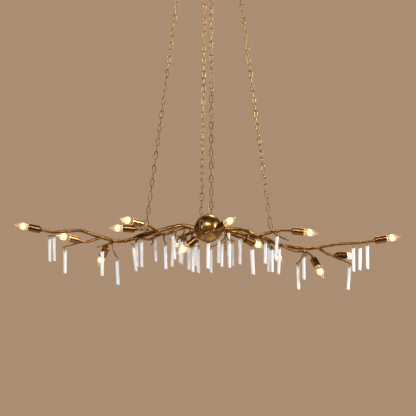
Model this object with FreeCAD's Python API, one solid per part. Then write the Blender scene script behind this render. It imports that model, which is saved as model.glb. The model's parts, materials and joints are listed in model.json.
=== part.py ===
import FreeCAD, Part
import math
import os

V = FreeCAD.Vector
UP = V(0, 0, 1)
ACROSS = V(1, 0, 0)
BACK = V(0, 1, 0)
DOWN = V(0, 0, -1)

# Overall layout. The origin is the centre of the canopy's ceiling face, and everything hangs below it.
BRANCH_REACH = 840.0
CHAIN_DROP = 1837.0
BALANCE_X = -4.05
BALANCE_Y = -0.72

# Ceiling plate, bracket and loop
CANOPY_RADIUS = 64.0
CANOPY_HEIGHT = 30.0
CANOPY_WALL = 1.2
CANOPY_CROWN_RADIUS = 24.0
CANOPY_LIP = 4.0
BRACKET_LENGTH = 106.0
BRACKET_WIDTH = 20.0
BRACKET_THICKNESS = 2.0
BRACKET_SLOT_SPACING = 88.9
BRACKET_SLOT_LENGTH = 10.0
BRACKET_SLOT_WIDTH = 5.0
STEM_RADIUS = 5.0
STEM_CLEARANCE = 0.2
COLLAR_RADIUS = 10.0
COLLAR_HEIGHT = 6.0
COLLAR_ROUND = 2.0
STEM_NUT_HEIGHT = 5.0
STEM_NUT_RADIUS = 9.0
RING_WIRE = 4.0
RING_INNER_RADIUS = 9.0
RING_SINK = 1.6

# Master link that gathers the four chains
MASTER_WIRE = 5.0
MASTER_INNER_WIDTH = 42.0
MASTER_INNER_LENGTH = 50.0
MASTER_CORNER = 5.5
LINK_PLAY = 0.3

# Chains
LINK_PITCH = 29.2
CHAIN_PLAY = 0.15
LINK_WIRE = 3.0
LINK_INNER_WIDTH = 10.0
HOOK_INNER_LENGTH = 44.0
HOOK_INNER_WIDTH = 11.0
HOOK_WIRE = 3.4
EYE_WIRE = 3.0
EYE_INNER_RADIUS = 5.0
EYE_SINK = 2.0
TOP_LINK_STEP = 10.0

# Ball hub
HUB_RADIUS = 58.5
HUB_WALL = 1.6
CORE_RADIUS = 24.0
CORE_HEIGHT = 30.0
ROOT_CLEARANCE = 0.5
ROOT_HOLE_REACH = 18.4
SPINDLE_RADIUS = 5.0
SPINDLE_BORE_RADIUS = 3.0
SPINDLE_CLEARANCE = 0.2
END_NUT_RADIUS = 8.0
END_NUT_HEIGHT = 3.0
END_NUT_TOP_SHARE = 0.7
FINIAL_HEIGHT = 5.0

# Limbs: thick leaders, arms that carry lamps and thin twigs
LEADER_RADIUS = 9.6
LEADER_TIP_RADIUS = 5.8
STRAND_RADIUS = 7.4
STRAND_TIP_RADIUS = 5.2
ARM_RADIUS = 5.8
ARM_TIP_RADIUS = 4.8
CROSSING_RADIUS = 7.0
CROSSING_TIP_RADIUS = 6.6
BRAID_RADIUS = 3.6
TWIG_RADIUS = 3.2
TWIG_TIP_RADIUS = 1.9
KNOT_PITCH = 46.0
KNOT_SHARE = 0.07
SECTION_STEP = 12.0
FEWEST_SECTIONS = 5
RING_CORNERS = 12
SEAT_REACH_SHARE = 1.5
SIDEWAYS_SHARE = 0.2
WELD_LEAST_SHARE = 0.3
TENDRIL_WIRE = 3.0
TENDRIL_RADIUS = 6.0
TENDRIL_PITCH = 14.5
TENDRIL_TURNS = 4

# Lamps
CUP_RADIUS = 15.2
CUP_LENGTH = 51.0
CUP_WALL = 1.2
CUP_BACK_ROUND = 5.0
HOLDER_RADIUS = 12.6
HOLDER_LENGTH = 44.0
HOLDER_FLOOR = 15.0
BASE_RADIUS = 6.0
BASE_CLEARANCE = 0.25
BASE_LENGTH = 22.0
BASE_TIP_SHARE = 0.45
BULB_RADIUS = 14.4
BULB_LENGTH = 78.0

# Crystal sticks and their wire loops
STICK_LENGTH = 96.0
STICK_WIDTH = 14.0
STICK_DEPTH = 10.0
HOLE_DEPTH = 5.0
HANGER_WIRE = 1.2
HANGER_DROP = 14.0
HANGER_CORNER = 1.6
HANGER_PLAY = 0.5
HOLE_CLEARANCE = 0.25

# Supply lead: its route from the ball's spindle to the master link, and on into the canopy
CORD_DIAMETER = 4.4
CORD_HOLE_CLEARANCE = 0.3
CORD_BEND_SHARE = 0.45
CORD_POINTS = [
    (-4, -0.7, -1892), (-4, -0.7, -1852), (5, 29, -1802), (16, 63, -1752), (21, 90, -1690),
    (5, 29, -300), (7, 22, -210), (9, 16, -160), (10, 14, -114),
]
TAIL_POINTS = [(10, 14, -111), (12.5, 14, -78), (12.5, 14, -12)]

CUT_OVERRUN = 2.0

# Heights that follow from the sizes above
COLLAR_BOTTOM = -CANOPY_HEIGHT - COLLAR_HEIGHT
RING_CENTRE_RADIUS = RING_INNER_RADIUS + RING_WIRE / 2
RING_CENTRE = V(0, 0, COLLAR_BOTTOM + RING_SINK - RING_CENTRE_RADIUS - RING_WIRE / 2)
RING_REST = RING_CENTRE.z - RING_INNER_RADIUS
SIDE_PIVOT = V(0, 0, RING_REST - RING_WIRE / 2)
MASTER_TOP = RING_REST + LINK_PLAY
MASTER_BAR = V(0, 0, MASTER_TOP - MASTER_INNER_LENGTH - MASTER_WIRE / 2)
HUB = V(BALANCE_X, BALANCE_Y, MASTER_BAR.z - CHAIN_DROP)

solids = {}
pivots = {}


def place(share):
    """A point given as shares of the branch reach, counted from the hub's centre."""
    x_share, y_share, z_share = share
    return HUB + V(x_share, y_share, z_share) * BRANCH_REACH


def cylinder(base, direction, radius, length):
    return Part.makeCylinder(radius, length, base, direction)


def wire_part(path, wire_radius):
    """A round wire bent along lines and arcs that meet smoothly in one closed loop."""
    first = path[0]
    start = first.valueAt(first.FirstParameter)
    heading = first.tangentAt(first.FirstParameter)
    profile = Part.Wire(Part.Circle(start, heading, wire_radius).toShape())
    sweep = Part.BRepOffsetAPI.MakePipeShell(Part.Wire(path))
    sweep.add(profile, False, True)
    sweep.setTransitionMode(0)
    sweep.build()
    sweep.makeSolid()
    return fixed(sweep.shape())


def fixed(shape):
    """The shape as a solid whose faces point outwards."""
    solid = shape if shape.ShapeType == "Solid" else Part.Solid(shape.Shells[0])
    if solid.Volume < 0:
        solid.reverse()
    return solid


def long_link(inner_length, inner_width, wire):
    """A chain link: two straight sides and two half rounds, long way up, flat way across."""
    bend = inner_width / 2 + wire / 2
    half = inner_length / 2 - inner_width / 2
    top_left = V(-bend, 0, half)
    top_right = V(bend, 0, half)
    low_left = V(-bend, 0, -half)
    low_right = V(bend, 0, -half)
    path = [
        Part.LineSegment(low_left, top_left).toShape(),
        Part.Arc(top_left, V(0, 0, half + bend), top_right).toShape(),
        Part.LineSegment(top_right, low_right).toShape(),
        Part.Arc(low_right, V(0, 0, -half - bend), low_left).toShape(),
    ]
    return wire_part(path, wire / 2)


def turned(shape, x_axis, z_axis, origin):
    """A copy of a shape, moved from its own axes to the given ones."""
    y_axis = z_axis.cross(x_axis)
    matrix = FreeCAD.Matrix(
        x_axis.x, y_axis.x, z_axis.x, origin.x,
        x_axis.y, y_axis.y, z_axis.y, origin.y,
        x_axis.z, y_axis.z, z_axis.z, origin.z,
        0, 0, 0, 1,
    )
    copy = shape.copy()
    copy.Placement = FreeCAD.Placement(matrix).multiply(shape.Placement)
    return copy


class Limb:
    """A round limb that tapers along a smooth centreline and swells a little at its knots."""

    def __init__(self, shares, root_radius, tip_radius):
        self.points = [place(share) for share in shares]
        self.line = Part.BSplineCurve()
        self.line.interpolate(self.points)
        self.root_radius = root_radius
        self.tip_radius = tip_radius
        self.length = self.line.length()

    def end(self, which):
        """The centre of an end face and the way that it points outwards."""
        if which == "root":
            return self.points[0], (self.points[0] - self.points[1]).normalize()
        return self.points[-1], (self.points[-1] - self.points[-2]).normalize()

    def radius_at(self, distance):
        share = distance / self.length
        plain = self.root_radius + (self.tip_radius - self.root_radius) * share
        fade = math.sin(math.pi * share)
        return plain * (1 + KNOT_SHARE * fade * math.sin(2 * math.pi * distance / KNOT_PITCH))

    def station(self, distance):
        """The centreline's point and heading at a distance from the root."""
        parameter = self.line.parameterAtDistance(distance, self.line.FirstParameter)
        return self.line.value(parameter), self.line.tangent(parameter)[0]

    def rings(self):
        """Rows of corners that run along the limb, one row for each corner of its section."""
        count = max(FEWEST_SECTIONS, round(self.length / SECTION_STEP))
        reach = 6 / (4 + 2 * math.cos(2 * math.pi / RING_CORNERS))
        rows = [[] for corner in range(RING_CORNERS)]
        side = None
        for step in range(count + 1):
            distance = self.length * step / count
            centre, heading = self.station(distance)
            if step == 0:
                heading = self.end("root")[1] * -1
                side = heading.cross(UP) if abs(heading.z) < abs(heading.x) + abs(heading.y) else heading.cross(ACROSS)
            if step == count:
                heading = self.end("tip")[1]
            side = (side - heading * side.dot(heading)).normalize()
            other = heading.cross(side)
            for corner, row in enumerate(rows):
                turn = 2 * math.pi * corner / RING_CORNERS
                out = side * math.cos(turn) + other * math.sin(turn)
                row.append(centre + out * (self.radius_at(distance) * reach))
        return rows, [step / count for step in range(count + 1)]

    def solid(self):
        """A smooth skin through the rings, closed by a flat face at each end."""
        rows, places = self.rings()
        poles = []
        for row in rows:
            line = Part.BSplineCurve()
            line.interpolate(Points=row, Parameters=places)
            poles.append(line.getPoles())
        knots = list(range(RING_CORNERS + 1))
        skin = Part.BSplineSurface()
        skin.buildFromPolesMultsKnots(
            poles, [1] * len(knots), line.getMultiplicities(), knots, line.getKnots(), True, False, 3, 3,
        )
        side_face = skin.toShape()
        rims = [edge for edge in side_face.Edges if edge.isClosed()]
        shell = Part.Shell([side_face] + [Part.Face(Part.Wire(rim)) for rim in rims])
        shell.sewShape()
        return fixed(Part.Solid(shell))

    def seat(self, x_share):
        """The lowest point of the centreline at a place across, with its heading and radius."""
        target = place((x_share, 0, 0)).x
        steps = round(self.length)
        best = None
        for step in range(steps + 1):
            distance = self.length * step / steps
            centre, heading = self.station(distance)
            if abs(centre.x - target) < SEAT_REACH_SHARE * self.length / steps:
                if best is None or centre.z < best[0].z:
                    best = (centre, heading, self.radius_at(distance))
        return best


# Limb routes, as shares of the branch reach: across, back and up from the hub's centre
LIMB_SHARES = {
    "left_leader": [
        (-0.024, 0.006, 0.000), (-0.068, 0.018, 0.004), (-0.108, 0.026, 0.013), (-0.168, 0.018, 0.008),
        (-0.235, 0.004, -0.010), (-0.302, 0.000, -0.030), (-0.353, 0.000, -0.044), (-0.396, 0.000, -0.058),
        (-0.440, 0.000, -0.064), (-0.485, 0.000, -0.058), (-0.530, 0.000, -0.045), (-0.574, 0.000, -0.032),
        (-0.618, 0.000, -0.016), (-0.650, 0.000, -0.010), (-0.697, 0.000, -0.014), (-0.748, 0.000, -0.017),
        (-0.774, 0.000, -0.019), (-0.806, 0.000, -0.014), (-0.839, 0.000, -0.007),
    ],
    "left_strand": [
        (-0.022, -0.011, 0.000), (-0.063, -0.030, 0.000), (-0.103, -0.050, 0.005), (-0.130, -0.058, 0.003),
        (-0.152, -0.062, -0.004), (-0.179, -0.062, -0.016), (-0.204, -0.055, -0.025), (-0.237, -0.042, -0.030),
        (-0.257, -0.033, -0.038), (-0.280, -0.026, -0.050), (-0.304, -0.022, -0.054), (-0.333, -0.018, -0.048),
        (-0.357, -0.011, -0.050), (-0.380, -0.001, -0.053),
    ],
    "left_braid": [
        (-0.246, -0.002, -0.012), (-0.262, -0.014, -0.017), (-0.287, -0.018, -0.020), (-0.316, -0.018, -0.023),
        (-0.346, -0.014, -0.031), (-0.372, -0.003, -0.048),
    ],
    "lamp_2_arm": [
        (-0.534, 0.000, -0.044), (-0.562, -0.020, -0.054), (-0.583, -0.036, -0.061), (-0.605, -0.052, -0.065),
        (-0.627, -0.066, -0.062), (-0.645, -0.081, -0.057),
    ],
    "lamp_3_arm": [
        (-0.462, 0.000, -0.063), (-0.489, 0.008, -0.072), (-0.504, 0.018, -0.082), (-0.511, 0.030, -0.096),
    ],
    "lamp_5_arm": [
        (-0.250, 0.000, -0.014), (-0.268, -0.030, -0.006), (-0.290, -0.058, 0.010), (-0.308, -0.075, 0.018),
        (-0.327, -0.088, 0.023),
    ],
    "lamp_4_arm": [
        (-0.243, 0.002, -0.013), (-0.270, 0.022, -0.018), (-0.303, 0.034, -0.008), (-0.335, 0.038, -0.006),
        (-0.368, 0.040, -0.004),
    ],
    "left_end_twig": [
        (-0.718, 0.000, -0.014), (-0.742, -0.003, -0.025), (-0.771, -0.006, -0.034), (-0.800, -0.006, -0.037),
    ],
    "left_thorn": [(-0.705, 0.000, -0.014), (-0.716, 0.000, -0.007), (-0.723, 0.000, 0.001)],
    "lamp_2_twig": [
        (-0.612, -0.057, -0.065), (-0.645, -0.050, -0.072), (-0.690, -0.045, -0.084), (-0.724, -0.041, -0.094),
    ],
    "lamp_3_left_twig": [
        (-0.484, 0.006, -0.071), (-0.501, -0.003, -0.077), (-0.524, -0.014, -0.084), (-0.556, -0.022, -0.096),
    ],
    "lamp_3_right_twig": [
        (-0.483, 0.006, -0.070), (-0.478, -0.006, -0.090), (-0.470, -0.012, -0.118), (-0.460, -0.014, -0.137),
        (-0.444, -0.014, -0.146),
    ],
    "left_drop_twig": [
        (-0.351, -0.002, -0.045), (-0.358, -0.022, -0.062), (-0.369, -0.042, -0.074), (-0.384, -0.050, -0.077),
    ],
    "left_spur": [(-0.280, -0.026, -0.051), (-0.276, -0.028, -0.064), (-0.286, -0.030, -0.083)],
    "left_under_twig": [
        (-0.344, 0.000, -0.042), (-0.347, 0.014, -0.054), (-0.357, 0.019, -0.060), (-0.369, 0.021, -0.061),
    ],
    "strand_drop_twig": [
        (-0.218, -0.050, -0.028), (-0.221, -0.050, -0.050), (-0.216, -0.052, -0.067), (-0.203, -0.054, -0.073),
    ],
    "left_back_twig": [
        (-0.250, 0.002, -0.015), (-0.255, 0.028, -0.028), (-0.266, 0.050, -0.035), (-0.280, 0.058, -0.037),
    ],
    "leader_drop_twig": [
        (-0.165, 0.019, 0.007), (-0.163, 0.040, -0.010), (-0.166, 0.052, -0.038), (-0.176, 0.056, -0.054),
        (-0.191, 0.058, -0.059),
    ],
    "strand_loop_twig": [
        (-0.112, -0.053, 0.003), (-0.120, -0.059, -0.014), (-0.121, -0.060, -0.034), (-0.113, -0.060, -0.054),
        (-0.099, -0.060, -0.067), (-0.086, -0.060, -0.070),
    ],
    "strand_side_twig": [
        (-0.121, -0.060, -0.036), (-0.125, -0.055, -0.045), (-0.132, -0.050, -0.049), (-0.143, -0.047, -0.050),
    ],
    "hub_left_twig": [
        (-0.078, -0.038, 0.001), (-0.078, -0.047, -0.020), (-0.083, -0.066, -0.045), (-0.086, -0.080, -0.068),
        (-0.076, -0.083, -0.081), (-0.058, -0.083, -0.086), (-0.038, -0.080, -0.084),
    ],
    "hub_inner_twig": [
        (-0.093, -0.044, 0.003), (-0.090, -0.034, -0.018), (-0.080, -0.024, -0.039), (-0.069, -0.018, -0.048),
        (-0.055, -0.016, -0.053),
    ],
    "right_leader": [
        (0.023, 0.009, 0.000), (0.066, 0.025, -0.004), (0.090, 0.031, -0.012), (0.117, 0.034, -0.018),
        (0.150, 0.034, -0.023), (0.193, 0.026, -0.036), (0.224, 0.016, -0.042), (0.258, 0.007, -0.043),
        (0.290, 0.001, -0.053), (0.329, 0.000, -0.073), (0.373, 0.000, -0.086), (0.431, 0.000, -0.095),
        (0.498, 0.000, -0.100), (0.560, 0.000, -0.093), (0.637, 0.000, -0.079), (0.714, 0.000, -0.074),
        (0.786, 0.000, -0.067), (0.832, 0.000, -0.060),
    ],
    "right_arc": [
        (0.023, -0.009, 0.000), (0.066, -0.023, -0.001), (0.102, -0.030, -0.001), (0.140, -0.031, -0.001),
        (0.173, -0.029, -0.007), (0.206, -0.023, -0.019), (0.238, -0.010, -0.031), (0.257, -0.003, -0.033),
        (0.275, -0.002, -0.029), (0.306, -0.001, -0.021), (0.340, 0.000, -0.012), (0.376, -0.002, -0.008),
        (0.402, -0.006, -0.009), (0.420, -0.009, -0.011),
    ],
    "lamp_13_arm": [
        (0.262, 0.006, -0.044), (0.270, 0.026, -0.064), (0.284, 0.048, -0.083), (0.305, 0.072, -0.103),
    ],
    "lamp_10_arm": [
        (0.376, 0.000, -0.087), (0.398, -0.010, -0.100), (0.443, -0.020, -0.113), (0.478, -0.018, -0.117),
        (0.498, -0.016, -0.123), (0.513, -0.023, -0.134), (0.522, -0.038, -0.151),
    ],
    "lamp_10_brace": [(0.466, 0.000, -0.097), (0.480, -0.008, -0.108), (0.496, -0.015, -0.121)],
    "lamp_11_arm": [
        (0.546, 0.000, -0.095), (0.577, 0.022, -0.116), (0.604, 0.040, -0.130), (0.627, 0.054, -0.136),
        (0.647, 0.070, -0.137),
    ],
    "right_drop_twig": [
        (0.474, 0.000, -0.102), (0.473, 0.012, -0.130), (0.465, 0.017, -0.154), (0.451, 0.018, -0.171),
        (0.437, 0.018, -0.178),
    ],
    "right_drop_side_twig": [
        (0.472, 0.010, -0.124), (0.477, 0.006, -0.130), (0.486, 0.002, -0.133), (0.496, 0.000, -0.133),
    ],
    "lamp_11_twig": [
        (0.622, 0.052, -0.136), (0.648, 0.050, -0.152), (0.684, 0.044, -0.164), (0.705, 0.041, -0.174),
        (0.724, 0.040, -0.184),
    ],
    "right_over_twig": [
        (0.322, -0.001, -0.017), (0.336, 0.008, -0.029), (0.354, 0.016, -0.040), (0.376, 0.020, -0.050),
        (0.401, 0.022, -0.061),
    ],
    "right_front_twig": [
        (0.318, -0.001, -0.018), (0.324, -0.028, -0.017), (0.338, -0.050, -0.019), (0.354, -0.060, -0.022),
    ],
    "right_fore_twig": [
        (0.300, 0.000, -0.058), (0.305, -0.016, -0.076), (0.314, -0.026, -0.088), (0.327, -0.029, -0.091),
    ],
    "right_rear_twig": [
        (0.288, 0.002, -0.051), (0.294, 0.016, -0.066), (0.302, 0.025, -0.077), (0.312, 0.027, -0.081),
    ],
    "arc_front_twig": [
        (0.206, -0.026, -0.019), (0.198, -0.044, -0.040), (0.193, -0.060, -0.066), (0.204, -0.072, -0.083),
        (0.225, -0.078, -0.087),
    ],
    "right_inner_twig": [
        (0.110, 0.034, -0.017), (0.109, 0.042, -0.034), (0.112, 0.050, -0.052), (0.121, 0.054, -0.061),
        (0.134, 0.054, -0.064),
    ],
    "arc_fore_twig": [
        (0.090, -0.027, -0.001), (0.090, -0.046, -0.018), (0.091, -0.066, -0.040), (0.100, -0.076, -0.054),
        (0.116, -0.080, -0.058),
    ],
    "hub_right_twig": [
        (0.080, -0.021, -0.002), (0.076, -0.040, -0.014), (0.066, -0.050, -0.029), (0.054, -0.052, -0.036),
        (0.041, -0.052, -0.037),
    ],
    "under_hub_twig": [
        (0.084, 0.029, -0.010), (0.085, 0.022, -0.034), (0.080, 0.010, -0.052), (0.068, 0.006, -0.062),
        (0.052, 0.006, -0.071), (0.036, 0.012, -0.084), (0.018, 0.020, -0.090), (0.002, 0.025, -0.089),
        (-0.016, 0.029, -0.082),
    ],
    "front_stem": [
        (0.000, -0.025, 0.000), (0.000, -0.066, 0.000), (-0.003, -0.092, -0.008), (-0.008, -0.114, -0.020),
    ],
    "front_crossing": [
        (0.046, -0.116, 0.003), (0.036, -0.107, -0.003), (0.018, -0.110, -0.011), (-0.004, -0.115, -0.019),
        (-0.026, -0.114, -0.029), (-0.043, -0.110, -0.038), (-0.056, -0.115, -0.048),
    ],
    "front_drop_twig": [
        (-0.014, -0.115, -0.024), (-0.017, -0.110, -0.040), (-0.009, -0.104, -0.053), (0.008, -0.102, -0.057),
    ],
    "back_stem": [
        (0.000, 0.025, 0.000), (0.000, 0.066, 0.000), (0.006, 0.094, -0.003), (0.014, 0.122, -0.008),
    ],
    "back_crossing": [
        (-0.122, 0.112, -0.044), (-0.114, 0.096, -0.036), (-0.095, 0.098, -0.027), (-0.066, 0.111, -0.017),
        (-0.030, 0.122, -0.010), (0.012, 0.125, -0.008), (0.060, 0.116, -0.012), (0.108, 0.098, -0.025),
        (0.146, 0.080, -0.042), (0.168, 0.074, -0.048), (0.185, 0.087, -0.055),
    ],
    "back_left_twig": [
        (-0.110, 0.099, -0.034), (-0.124, 0.082, -0.037), (-0.145, 0.068, -0.040), (-0.160, 0.062, -0.042),
    ],
}
TENDRIL_TOP_SHARES = (0.084, -0.067, -0.042)

TWIG_SIZE = (TWIG_RADIUS, TWIG_TIP_RADIUS)
ARM_SIZE = (ARM_RADIUS, ARM_TIP_RADIUS)
LIMB_SIZES = {
    "left_leader": (LEADER_RADIUS, LEADER_TIP_RADIUS),
    "right_leader": (LEADER_RADIUS, LEADER_TIP_RADIUS),
    "right_arc": (LEADER_RADIUS, LEADER_TIP_RADIUS),
    "left_strand": (STRAND_RADIUS, STRAND_TIP_RADIUS),
    "left_braid": (BRAID_RADIUS, BRAID_RADIUS),
    "lamp_2_arm": ARM_SIZE,
    "lamp_3_arm": ARM_SIZE,
    "lamp_4_arm": ARM_SIZE,
    "lamp_5_arm": ARM_SIZE,
    "lamp_10_arm": ARM_SIZE,
    "lamp_11_arm": ARM_SIZE,
    "lamp_13_arm": ARM_SIZE,
    "front_stem": ARM_SIZE,
    "back_stem": ARM_SIZE,
    "front_crossing": (CROSSING_RADIUS, CROSSING_TIP_RADIUS),
    "back_crossing": (CROSSING_TIP_RADIUS, LEADER_TIP_RADIUS),
    "lamp_10_brace": (BRAID_RADIUS, TWIG_RADIUS),
}

ROOT_LIMBS = ["left_leader", "left_strand", "right_leader", "right_arc", "front_stem", "back_stem"]

BRANCHES = {
    "left_branch": [
        "left_leader", "left_strand", "left_braid", "lamp_2_arm", "lamp_3_arm", "lamp_5_arm", "lamp_4_arm",
        "left_end_twig", "left_thorn", "lamp_2_twig", "lamp_3_left_twig", "lamp_3_right_twig",
        "left_drop_twig", "left_spur", "left_under_twig", "strand_drop_twig", "left_back_twig",
        "leader_drop_twig", "strand_loop_twig", "strand_side_twig", "hub_left_twig", "hub_inner_twig",
    ],
    "right_branch": [
        "right_leader", "right_arc", "lamp_13_arm", "lamp_10_arm", "lamp_10_brace", "lamp_11_arm",
        "right_drop_twig", "right_drop_side_twig", "lamp_11_twig", "right_over_twig", "right_front_twig",
        "right_fore_twig", "right_rear_twig", "arc_front_twig", "right_inner_twig", "arc_fore_twig",
        "hub_right_twig", "under_hub_twig",
    ],
    "front_branch": ["front_stem", "front_crossing", "front_drop_twig"],
    "back_branch": ["back_stem", "back_crossing", "back_left_twig"],
}

# Each lamp stands on a limb's end: its limb and which end
LAMPS = [
    ("left_leader", "tip"), ("lamp_2_arm", "tip"), ("lamp_3_arm", "tip"), ("lamp_4_arm", "tip"),
    ("lamp_5_arm", "tip"), ("front_crossing", "tip"), ("front_crossing", "root"), ("right_arc", "tip"),
    ("right_leader", "tip"), ("lamp_10_arm", "tip"), ("lamp_11_arm", "tip"), ("back_crossing", "tip"),
    ("lamp_13_arm", "tip"), ("back_crossing", "root"),
]

# Each stick: the limb that carries it, its place across, then shares of the usual drop, length and width,
# then its lean and its swing each way in degrees
STICK_SHARES = [
    ("left_end_twig", -0.791, 0.93, 0.98, 0.95, 0, 15),
    ("left_end_twig", -0.770, 0.72, 1.00, 0.92, -1, 15),
    ("lamp_2_twig", -0.711, 1.00, 1.00, 0.98, 0, 14),
    ("lamp_3_left_twig", -0.529, 1.75, 1.05, 1.15, 0, 10),
    ("lamp_3_right_twig", -0.456, 1.20, 1.03, 1.02, -2, 14),
    ("left_under_twig", -0.358, 0.72, 1.03, 0.95, -2, 10),
    ("left_drop_twig", -0.370, 1.20, 1.03, 0.95, -8, 8),
    ("left_strand", -0.335, 1.25, 1.07, 1.00, -1, 10),
    ("left_back_twig", -0.265, 1.02, 0.98, 1.00, -2, 12),
    ("strand_drop_twig", -0.214, 1.10, 0.98, 1.00, -1, 12),
    ("left_strand", -0.174, 1.30, 1.01, 0.95, -5, 10),
    ("leader_drop_twig", -0.177, 1.05, 1.04, 0.95, 2, 10),
    ("back_left_twig", -0.146, 1.00, 1.03, 0.95, -3, 8),
    ("strand_side_twig", -0.130, 0.98, 0.98, 0.92, -1, 9),
    ("strand_loop_twig", -0.098, 1.05, 1.03, 0.98, 0, 10),
    ("hub_left_twig", -0.077, 0.98, 1.01, 0.98, 0, 10),
    ("hub_inner_twig", -0.063, 1.00, 1.04, 0.96, 0, 10),
    ("hub_left_twig", -0.050, 1.05, 1.00, 0.98, -1, 10),
    ("front_drop_twig", -0.002, 0.95, 1.07, 1.05, 1, 12),
    ("under_hub_twig", 0.012, 0.90, 1.01, 0.95, 0, 10),
    ("hub_right_twig", 0.054, 1.00, 1.03, 0.95, 1, 10),
    ("under_hub_twig", 0.068, 0.95, 0.98, 0.95, 0, 9),
    ("right_arc", 0.102, 1.30, 1.02, 0.92, 0, 8),
    ("arc_fore_twig", 0.102, 1.10, 1.03, 0.95, -1, 9),
    ("right_inner_twig", 0.119, 1.05, 0.97, 0.95, -2, 10),
    ("right_leader", 0.158, 1.60, 1.12, 1.00, 0, 12),
    ("arc_front_twig", 0.216, 1.05, 1.06, 1.15, -3, 14),
    ("right_leader", 0.284, 1.35, 0.88, 0.95, 1, 6),
    ("right_rear_twig", 0.301, 1.05, 1.07, 1.00, 0, 9),
    ("right_fore_twig", 0.316, 1.05, 0.95, 0.98, -1, 6),
    ("right_front_twig", 0.340, 1.20, 0.96, 0.98, 6, 6),
    ("right_leader", 0.354, 1.25, 1.09, 1.00, 2, 9),
    ("right_drop_twig", 0.451, 1.05, 1.00, 1.00, -1, 12),
    ("right_drop_side_twig", 0.476, 1.05, 0.93, 0.95, -1, 12),
    ("lamp_11_twig", 0.708, 1.15, 0.98, 1.00, 4, 12),
    ("right_leader", 0.726, 1.55, 1.01, 1.00, -1, 14),
    ("right_leader", 0.760, 1.70, 0.95, 1.00, 1, 14),
    ("right_leader", 0.795, 1.30, 1.00, 1.00, -1, 14),
]

# A stick's outline, as shares of its width and depth, and the slope of its broken ends
STICK_OUTLINE_SHARES = [
    (-0.50, -0.22), (-0.30, -0.50), (0.24, -0.50), (0.50, -0.16), (0.46, 0.30), (0.22, 0.50), (-0.34, 0.50),
]
STICK_FOOT_SHARE = 0.90
STICK_SLANT_SHARE = 0.22

limbs = {}
for name, shares in LIMB_SHARES.items():
    root_radius, tip_radius = LIMB_SIZES.get(name, TWIG_SIZE)
    limbs[name] = Limb(shares, root_radius, tip_radius)


def canopy():
    """A shallow spun dish, open at the ceiling, with a hole for the stem."""
    hole = STEM_RADIUS + STEM_CLEARANCE

    def dome(rim_radius, height):
        run = rim_radius - CANOPY_CROWN_RADIUS
        drop = height - CANOPY_LIP
        bend = (run ** 2 + drop ** 2) / (2 * drop)
        rim = V(rim_radius, 0, -CANOPY_LIP)
        crown = V(CANOPY_CROWN_RADIUS, 0, -height)
        centre = crown + UP * bend
        halfway = ((rim - centre).normalize() + (crown - centre).normalize()).normalize()
        return rim, centre + halfway * bend, crown

    rim, mid, crown = dome(CANOPY_RADIUS, CANOPY_HEIGHT)
    inner_rim, inner_mid, inner_crown = dome(CANOPY_RADIUS - CANOPY_WALL, CANOPY_HEIGHT - CANOPY_WALL)
    outline = [
        Part.LineSegment(V(inner_rim.x, 0, 0), V(rim.x, 0, 0)).toShape(),
        Part.LineSegment(V(rim.x, 0, 0), rim).toShape(),
        Part.Arc(rim, mid, crown).toShape(),
        Part.LineSegment(crown, V(hole, 0, crown.z)).toShape(),
        Part.LineSegment(V(hole, 0, crown.z), V(hole, 0, inner_crown.z)).toShape(),
        Part.LineSegment(V(hole, 0, inner_crown.z), inner_crown).toShape(),
        Part.Arc(inner_crown, inner_mid, inner_rim).toShape(),
        Part.LineSegment(inner_rim, V(inner_rim.x, 0, 0)).toShape(),
    ]
    dish = fixed(Part.Face(Part.Wire(outline)).revolve(V(0, 0, 0), UP, 360))
    tail_x, tail_y, tail_z = TAIL_POINTS[-1]
    cord_hole = cylinder(V(tail_x, tail_y, -CANOPY_HEIGHT - CUT_OVERRUN), UP,
                         CORD_DIAMETER / 2 + CORD_HOLE_CLEARANCE, CANOPY_HEIGHT / 2)
    return fixed(dish.cut(cord_hole))


def ceiling_bracket():
    """A strap with two slots for the ceiling box's screws and a hole for the stem."""
    strap = Part.makeBox(
        BRACKET_LENGTH, BRACKET_WIDTH, BRACKET_THICKNESS,
        V(-BRACKET_LENGTH / 2, -BRACKET_WIDTH / 2, -BRACKET_THICKNESS),
    )
    depth = BRACKET_THICKNESS + 2 * CUT_OVERRUN
    floor = -BRACKET_THICKNESS - CUT_OVERRUN
    cuts = [cylinder(V(0, 0, floor), UP, STEM_RADIUS + STEM_CLEARANCE, depth)]
    run = BRACKET_SLOT_LENGTH - BRACKET_SLOT_WIDTH
    for side in (-1, 1):
        middle = side * BRACKET_SLOT_SPACING / 2
        for end in (-1, 1):
            cuts.append(cylinder(V(middle + end * run / 2, 0, floor), UP, BRACKET_SLOT_WIDTH / 2, depth))
        corner = V(middle - run / 2, -BRACKET_SLOT_WIDTH / 2, floor)
        cuts.append(Part.makeBox(run, BRACKET_SLOT_WIDTH, depth, corner))
    return fixed(strap.cut(cuts))


def hexagon(radius, bottom, height):
    corners = [V(radius * math.cos(turn), radius * math.sin(turn), bottom)
               for turn in (math.pi / 3 * step for step in range(6))]
    return Part.Face(Part.makePolygon(corners + corners[:1])).extrude(V(0, 0, height))


def lock_nut():
    """The nut that locks the stem under the bracket."""
    nut = hexagon(STEM_NUT_RADIUS, -BRACKET_THICKNESS - STEM_NUT_HEIGHT, STEM_NUT_HEIGHT)
    floor = V(0, 0, -BRACKET_THICKNESS - STEM_NUT_HEIGHT - CUT_OVERRUN)
    bore = cylinder(floor, UP, STEM_RADIUS + STEM_CLEARANCE, STEM_NUT_HEIGHT + 2 * CUT_OVERRUN)
    return fixed(nut.cut(bore))


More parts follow.
